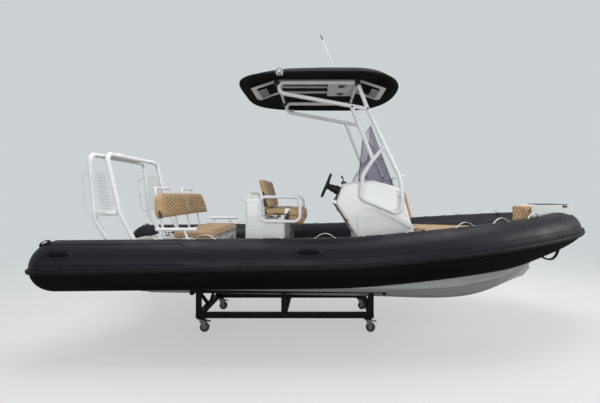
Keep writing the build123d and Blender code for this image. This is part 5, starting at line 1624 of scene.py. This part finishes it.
def sternFittings():
    k = stern
    spots = []
    for x in k["feet"]:
        for side in (-1, 1):
            for a in (-0.044, 0.044):
                for b in (-0.044, 0.044):
                    spots.append((Vector((x + a, side * k["archY"] + b, k["plateZ"])), toSky))
    repeatItems("archBolts", spots, "dome", 0.0075, 0.005, zincSteel)
    # a folded lip under each slot of the arch panels, finished in grey as painted shade under the slot
    form = [], []
    for side in (-1, 1):
        for i in range(12):
            z = 1.500 + i * 0.036
            x = slotMiddle(z)
            plate(form, (x, side * (k["archY"] + 0.0045), z - 0.0060), toPort * side, 0.097, 0.0040,
                  0.0075, 0.001)
    addPiece("slotLips", form, slotLipPaintedShade, crisp=30)
    # small curved shelf at the foot of each slotted panel
    form = verts, faces = [], []
    for side in (-1, 1):
        base, n = len(verts), 28
        for z, grow in ((1.432, 0.88), (1.436, 1.0), (1.462, 1.0), (1.468, 0.93), (1.462, 0.84),
                        (1.446, 0.80)):
            for j in range(n):
                a = 2 * math.pi * j / n
                verts.append(Vector((-2.647 + 0.112 * grow * math.cos(a),
                                     side * (k["archY"] + 0.022 + 0.030 * grow * math.sin(a)), z)))
        ringFaces(faces, base, 6, n, True, True)
    addPiece("archShelves", form, gelcoat, crisp=35)
    # zip and strap at each end of the backrest
    form = [], []
    lean = Vector((-0.2, 0, 0.98)).normalized()
    for side in (-1, 1):
        block(form, Vector((-1.984, side * 0.804, 1.434)), toBow * side, lean, toPort * side, 0.016, 0.086,
              0.014, 0.003)
    addPiece("backStraps", form, clampFinish, crisp=30)
    # rubber feet under the side rails' legs
    form = [], []
    for hand in (-1, 1):
        for x in (-1.905, -1.633):
            ovalPad(form, sAt(x), 95.0, 0.034, 0.034, 0.010, hand, rings=5, around=24)
    openPiece("railFeet", form, blackRubber)
    # bench locker doors with latches, deck plates and cleats
    form = [], []
    for y in (-0.32, 0.32):
        plate(form, (-1.4705, y, 0.97), toBow, 0.56, 0.26, 0.006, 0.004)
    for side in (-1, 1):
        plate(form, (-2.16, side * 0.55, 1.0595), toSky, 0.26, 0.30, 0.006, 0.004)
        plate(form, (-2.10, side * 0.66, 1.0595), toSky, 0.10, 0.07, 0.085, 0.010)
    addPiece("sternHatches", form, gelcoat, crisp=30)
    form = [], []
    for y in (-0.32, 0.32):
        turned(form, latchRings, (-1.4645, y, 1.055), (1, 0, 0), 24)
    for side in (-1, 1):
        turned(form, [(0.058, 0.0), (0.058, 0.004), (0.050, 0.007), (0.044, 0.004), (0.0, 0.004)],
               (-2.45, side * 0.48, 1.0595), (0, 0, 1), 32)
    addPiece("sternCaps", form, helmBlack, crisp=30)
    form = [], []
    for side in (-1, 1):
        for x, y, z in ((-2.53, side * 0.745, 1.060), (-2.02, side * 0.735, 1.060)):
            for dx in (-0.025, 0.025):
                turned(form, [(0.014, -0.001), (0.012, 0.004), (0.008, 0.026)], (x + dx, y, z), (0, 0, 1),
                       14)
            path = [Vector((x - 0.085, y, z + 0.040)), Vector((x - 0.045, y, z + 0.030)),
                    Vector((x, y, z + 0.028)), Vector((x + 0.045, y, z + 0.030)),
                    Vector((x + 0.085, y, z + 0.040))]
            sweepMesh(form, path, circle(0.009, 12), scale=lambda t: 1 - 0.35 * abs(2 * t - 1))
    addPiece("cleats", form, powderCoat, crisp=40)


sternFittings()


def bowFittings():
    form = [], []
    top = 1.5236
    plate(form, (2.765, 0, top + 0.002), toSky, 0.320, 0.240, 0.0075, 0.003)
    for y in (-0.105, 0.105):
        turned(form, [(0.030, 0.0), (0.030, 0.006), (0.022, 0.010), (0.012, 0.006), (0.0, 0.006)],
               (2.955, y, top - 0.001), (0, 0, 1), 28)
    nose = BVHTree.FromPolygons([v.co for v in nodes["bow_moulding"].data.vertices],
                                [tuple(f.vertices) for f in nodes["bow_moulding"].data.polygons])
    for side in (-1, 1):
        for x, w in ((2.905, 0.028), (2.935, 0.024)):
            spot, normal = nose.ray_cast(Vector((x, side * 0.7, 1.503)), -toPort * side)[:2]
            if spot:
                turned(form, [(w * 0.62, -0.004), (w * 0.62, 0.002), (w * 0.5, 0.004), (w * 0.3, 0.001),
                              (0.0, 0.001)], spot, normal if normal.y * side > 0 else -normal, 24)
    addPiece("bowGrips", form, greyBlack, crisp=30)
    form = [], []
    for y in (-0.045, 0.045):
        plate(form, (2.995, y, 1.500), toBow, 0.010, 0.060, 0.060, 0.004)
    turned(form, [(0.0, -0.040), (0.020, -0.040), (0.011, -0.008), (0.011, 0.008), (0.020, 0.040),
                  (0.0, 0.040)], (3.030, 0, 1.492), (0, 1, 0), 24)
    addPiece("bowRoller", form, zincSteel, crisp=30)
    # bow locker: lid seams and latches beside the cushion
    form = [], []
    for y in (-0.33, 0.33):
        plate(form, (1.0805, y, 0.97), -toBow, 0.50, 0.24, 0.006, 0.004)
    addPiece("bowDoors", form, gelcoat, crisp=30)
    form = [], []
    for y in (-0.33, 0.33):
        turned(form, latchRings, (1.0745, y, 1.045), (-1, 0, 0), 24)
    addPiece("bowLatches", form, helmBlack, crisp=30)


bowFittings()

collarBits = {"capS": -0.098, "capAngle": 72.0, "valveX": (-1.098, 0.95, 2.40), "valveAngle": 100.0,
              "loopFrom": (5.190, -44.0), "loopTo": (5.545, -54.0), "loopDrop": 0.046}


def collarFittings():
    k = collarBits
    form = [], []
    for hand in (-1, 1):
        ovalPad(form, k["capS"], k["capAngle"], 0.068, 0.044, 0.013, hand, rings=6, around=32)
        for x in k["valveX"]:
            ovalPad(form, sAt(x), k["valveAngle"] + 12, 0.046, 0.046, 0.005, hand, rings=4, around=32)
        for s, angle in (k["loopFrom"], k["loopTo"]):
            ovalPad(form, s, angle, 0.060, 0.038, 0.006, hand, rings=4, around=28)
    openPiece("collarPads", form, blackRubber)
    form = [], []
    for hand in (-1, 1):
        # lifting handle over each cone's cap
        path = [onCollar(k["capS"] + 0.055 * t, k["capAngle"],
                         0.010 + 0.024 * math.sqrt(max(0.0, 1 - t * t)), hand)
                for t in [i / 10 - 1 for i in range(21)]]
        sweepMesh(form, path, flat(0.034, 0.007), side=(0, 1, 0.2))
        # fabric loop under the bow
        (s0, a0), (s1, a1) = k["loopFrom"], k["loopTo"]
        path = []
        for i in range(29):
            t = i / 28
            sag = math.sin(math.pi * t)
            spot = onCollar(s0 + (s1 - s0) * t, a0 + (a1 - a0) * t, 0.006 + 0.020 * sag, hand)
            spot.z -= k["loopDrop"] * sag ** 0.8
            path.append(spot)
        sweepMesh(form, path, flat(0.034, 0.019), side=(0, 1, 0))
        for x in k["valveX"]:
            s = sAt(x)
            foot = onCollar(s, k["valveAngle"] + 12, 0.003, hand)
            tip = onCollar(s, k["valveAngle"] + 12, 0.04, hand)
            turned(form, [(0.030, 0.0), (0.030, 0.006), (0.025, 0.011), (0.018, 0.014), (0.0, 0.015)],
                   foot, tip - foot, 28)
    addPiece("collarLoops", form, blackRubber, crisp=40)


collarFittings()
print("stern, bow and collar dressed")

cradle = {"casterX": {"aft": -1.645, "fwd": 0.358}, "hand": {"starboard": -1, "port": 1}, "railY": 0.430,
          "plateBolt": 0.034, "plateZ": 0.1708, "postX": (-1.682, -0.655, 0.400), "postFace": 0.0255,
          "postBoltZ": (0.205, 0.440), "boltR": 0.0085, "boltHigh": 0.006,
          "padX": (-1.45, -0.95, -0.30, 0.20), "padZ": 0.4985, "endX": (-1.783, 0.577), "endZ": 0.484}
# turned parts of a caster, as (radius, distance along the axle)
caster = {"hub": [(0.026, 0.0175), (0.026, 0.0192), (0.020, 0.0205), (0.0125, 0.0200), (0.0125, 0.0185)],
          "axle": [(0.0, -0.0325), (0.0095, -0.0325), (0.0105, -0.029), (0.0105, 0.029), (0.0095, 0.0325),
                   (0.0, 0.0325)],
          "ribs": 36, "tread": 0.0554, "ribR": 0.0012, "ribLong": 0.030, "pedalOut": 0.030, "pedalZ": 0.1345,
          "pedal": (0.034, 0.012, 0.044, 0.003)}


def cradleFittings():
    k = cradle
    spots = []
    for side in (-1, 1):
        for x in k["casterX"].values():
            spots += [(Vector((x + a, side * k["railY"] + b, k["plateZ"])), -toSky)
                      for a in (-k["plateBolt"], k["plateBolt"]) for b in (-k["plateBolt"], k["plateBolt"])]
        spots += [(Vector((x, side * (k["railY"] + k["postFace"]), z)), toPort * side)
                  for x in k["postX"] for z in k["postBoltZ"]]
    repeatItems("cradleBolts", spots, "dome", k["boltR"], k["boltHigh"], cradlePaint)
    form = [], []
    for side in (-1, 1):
        for x in k["padX"]:
            plate(form, (x, side * k["railY"], k["padZ"]), toSky, 0.26, 0.054, 0.0035, 0.002)
        for x in k["endX"]:
            plate(form, (x, side * k["railY"], k["endZ"]), toBow * (1 if x > 0 else -1), 0.048, 0.028,
                  0.006, 0.003)
    addPiece("cradlePads", form, blackRubber, crisp=30)
    for end in k["casterX"]:
        for hand in k["hand"]:
            dressCaster(end + "_" + hand)


def dressCaster(which):
    k = caster
    low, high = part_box("caster_wheel_" + which)
    hub = (low + high) / 2
    form = [], []
    for out in (-1, 1):
        turned(form, k["hub"], hub, toPort * out, 28)
    addPiece("casterHub_" + which, form, zincSteel, body="roller_" + which, crisp=30)
    # treads: shallow ribs across the tyre
    angles = [2 * math.pi * i / k["ribs"] for i in range(k["ribs"])]
    ribs = [(hub + Vector((math.sin(a), 0, math.cos(a))) * k["tread"], toPort) for a in angles]
    repeatItems("casterTread_" + which, ribs, "peg", k["ribR"], k["ribLong"], wheelRubber, "roller_" + which)
    form = [], []
    turned(form, k["axle"], hub, toPort, 6)
    slope = Vector((0.25, 0, 0.97)).normalized()
    block(form, Vector((hub.x + k["pedalOut"], hub.y, k["pedalZ"])), toPort, slope,
          Vector((slope.z, 0, -slope.x)), *k["pedal"])
    addPiece("casterBrake_" + which, form, zincSteel, body="swivel_" + which, crisp=30)


cradleFittings()
print("cradle dressed")
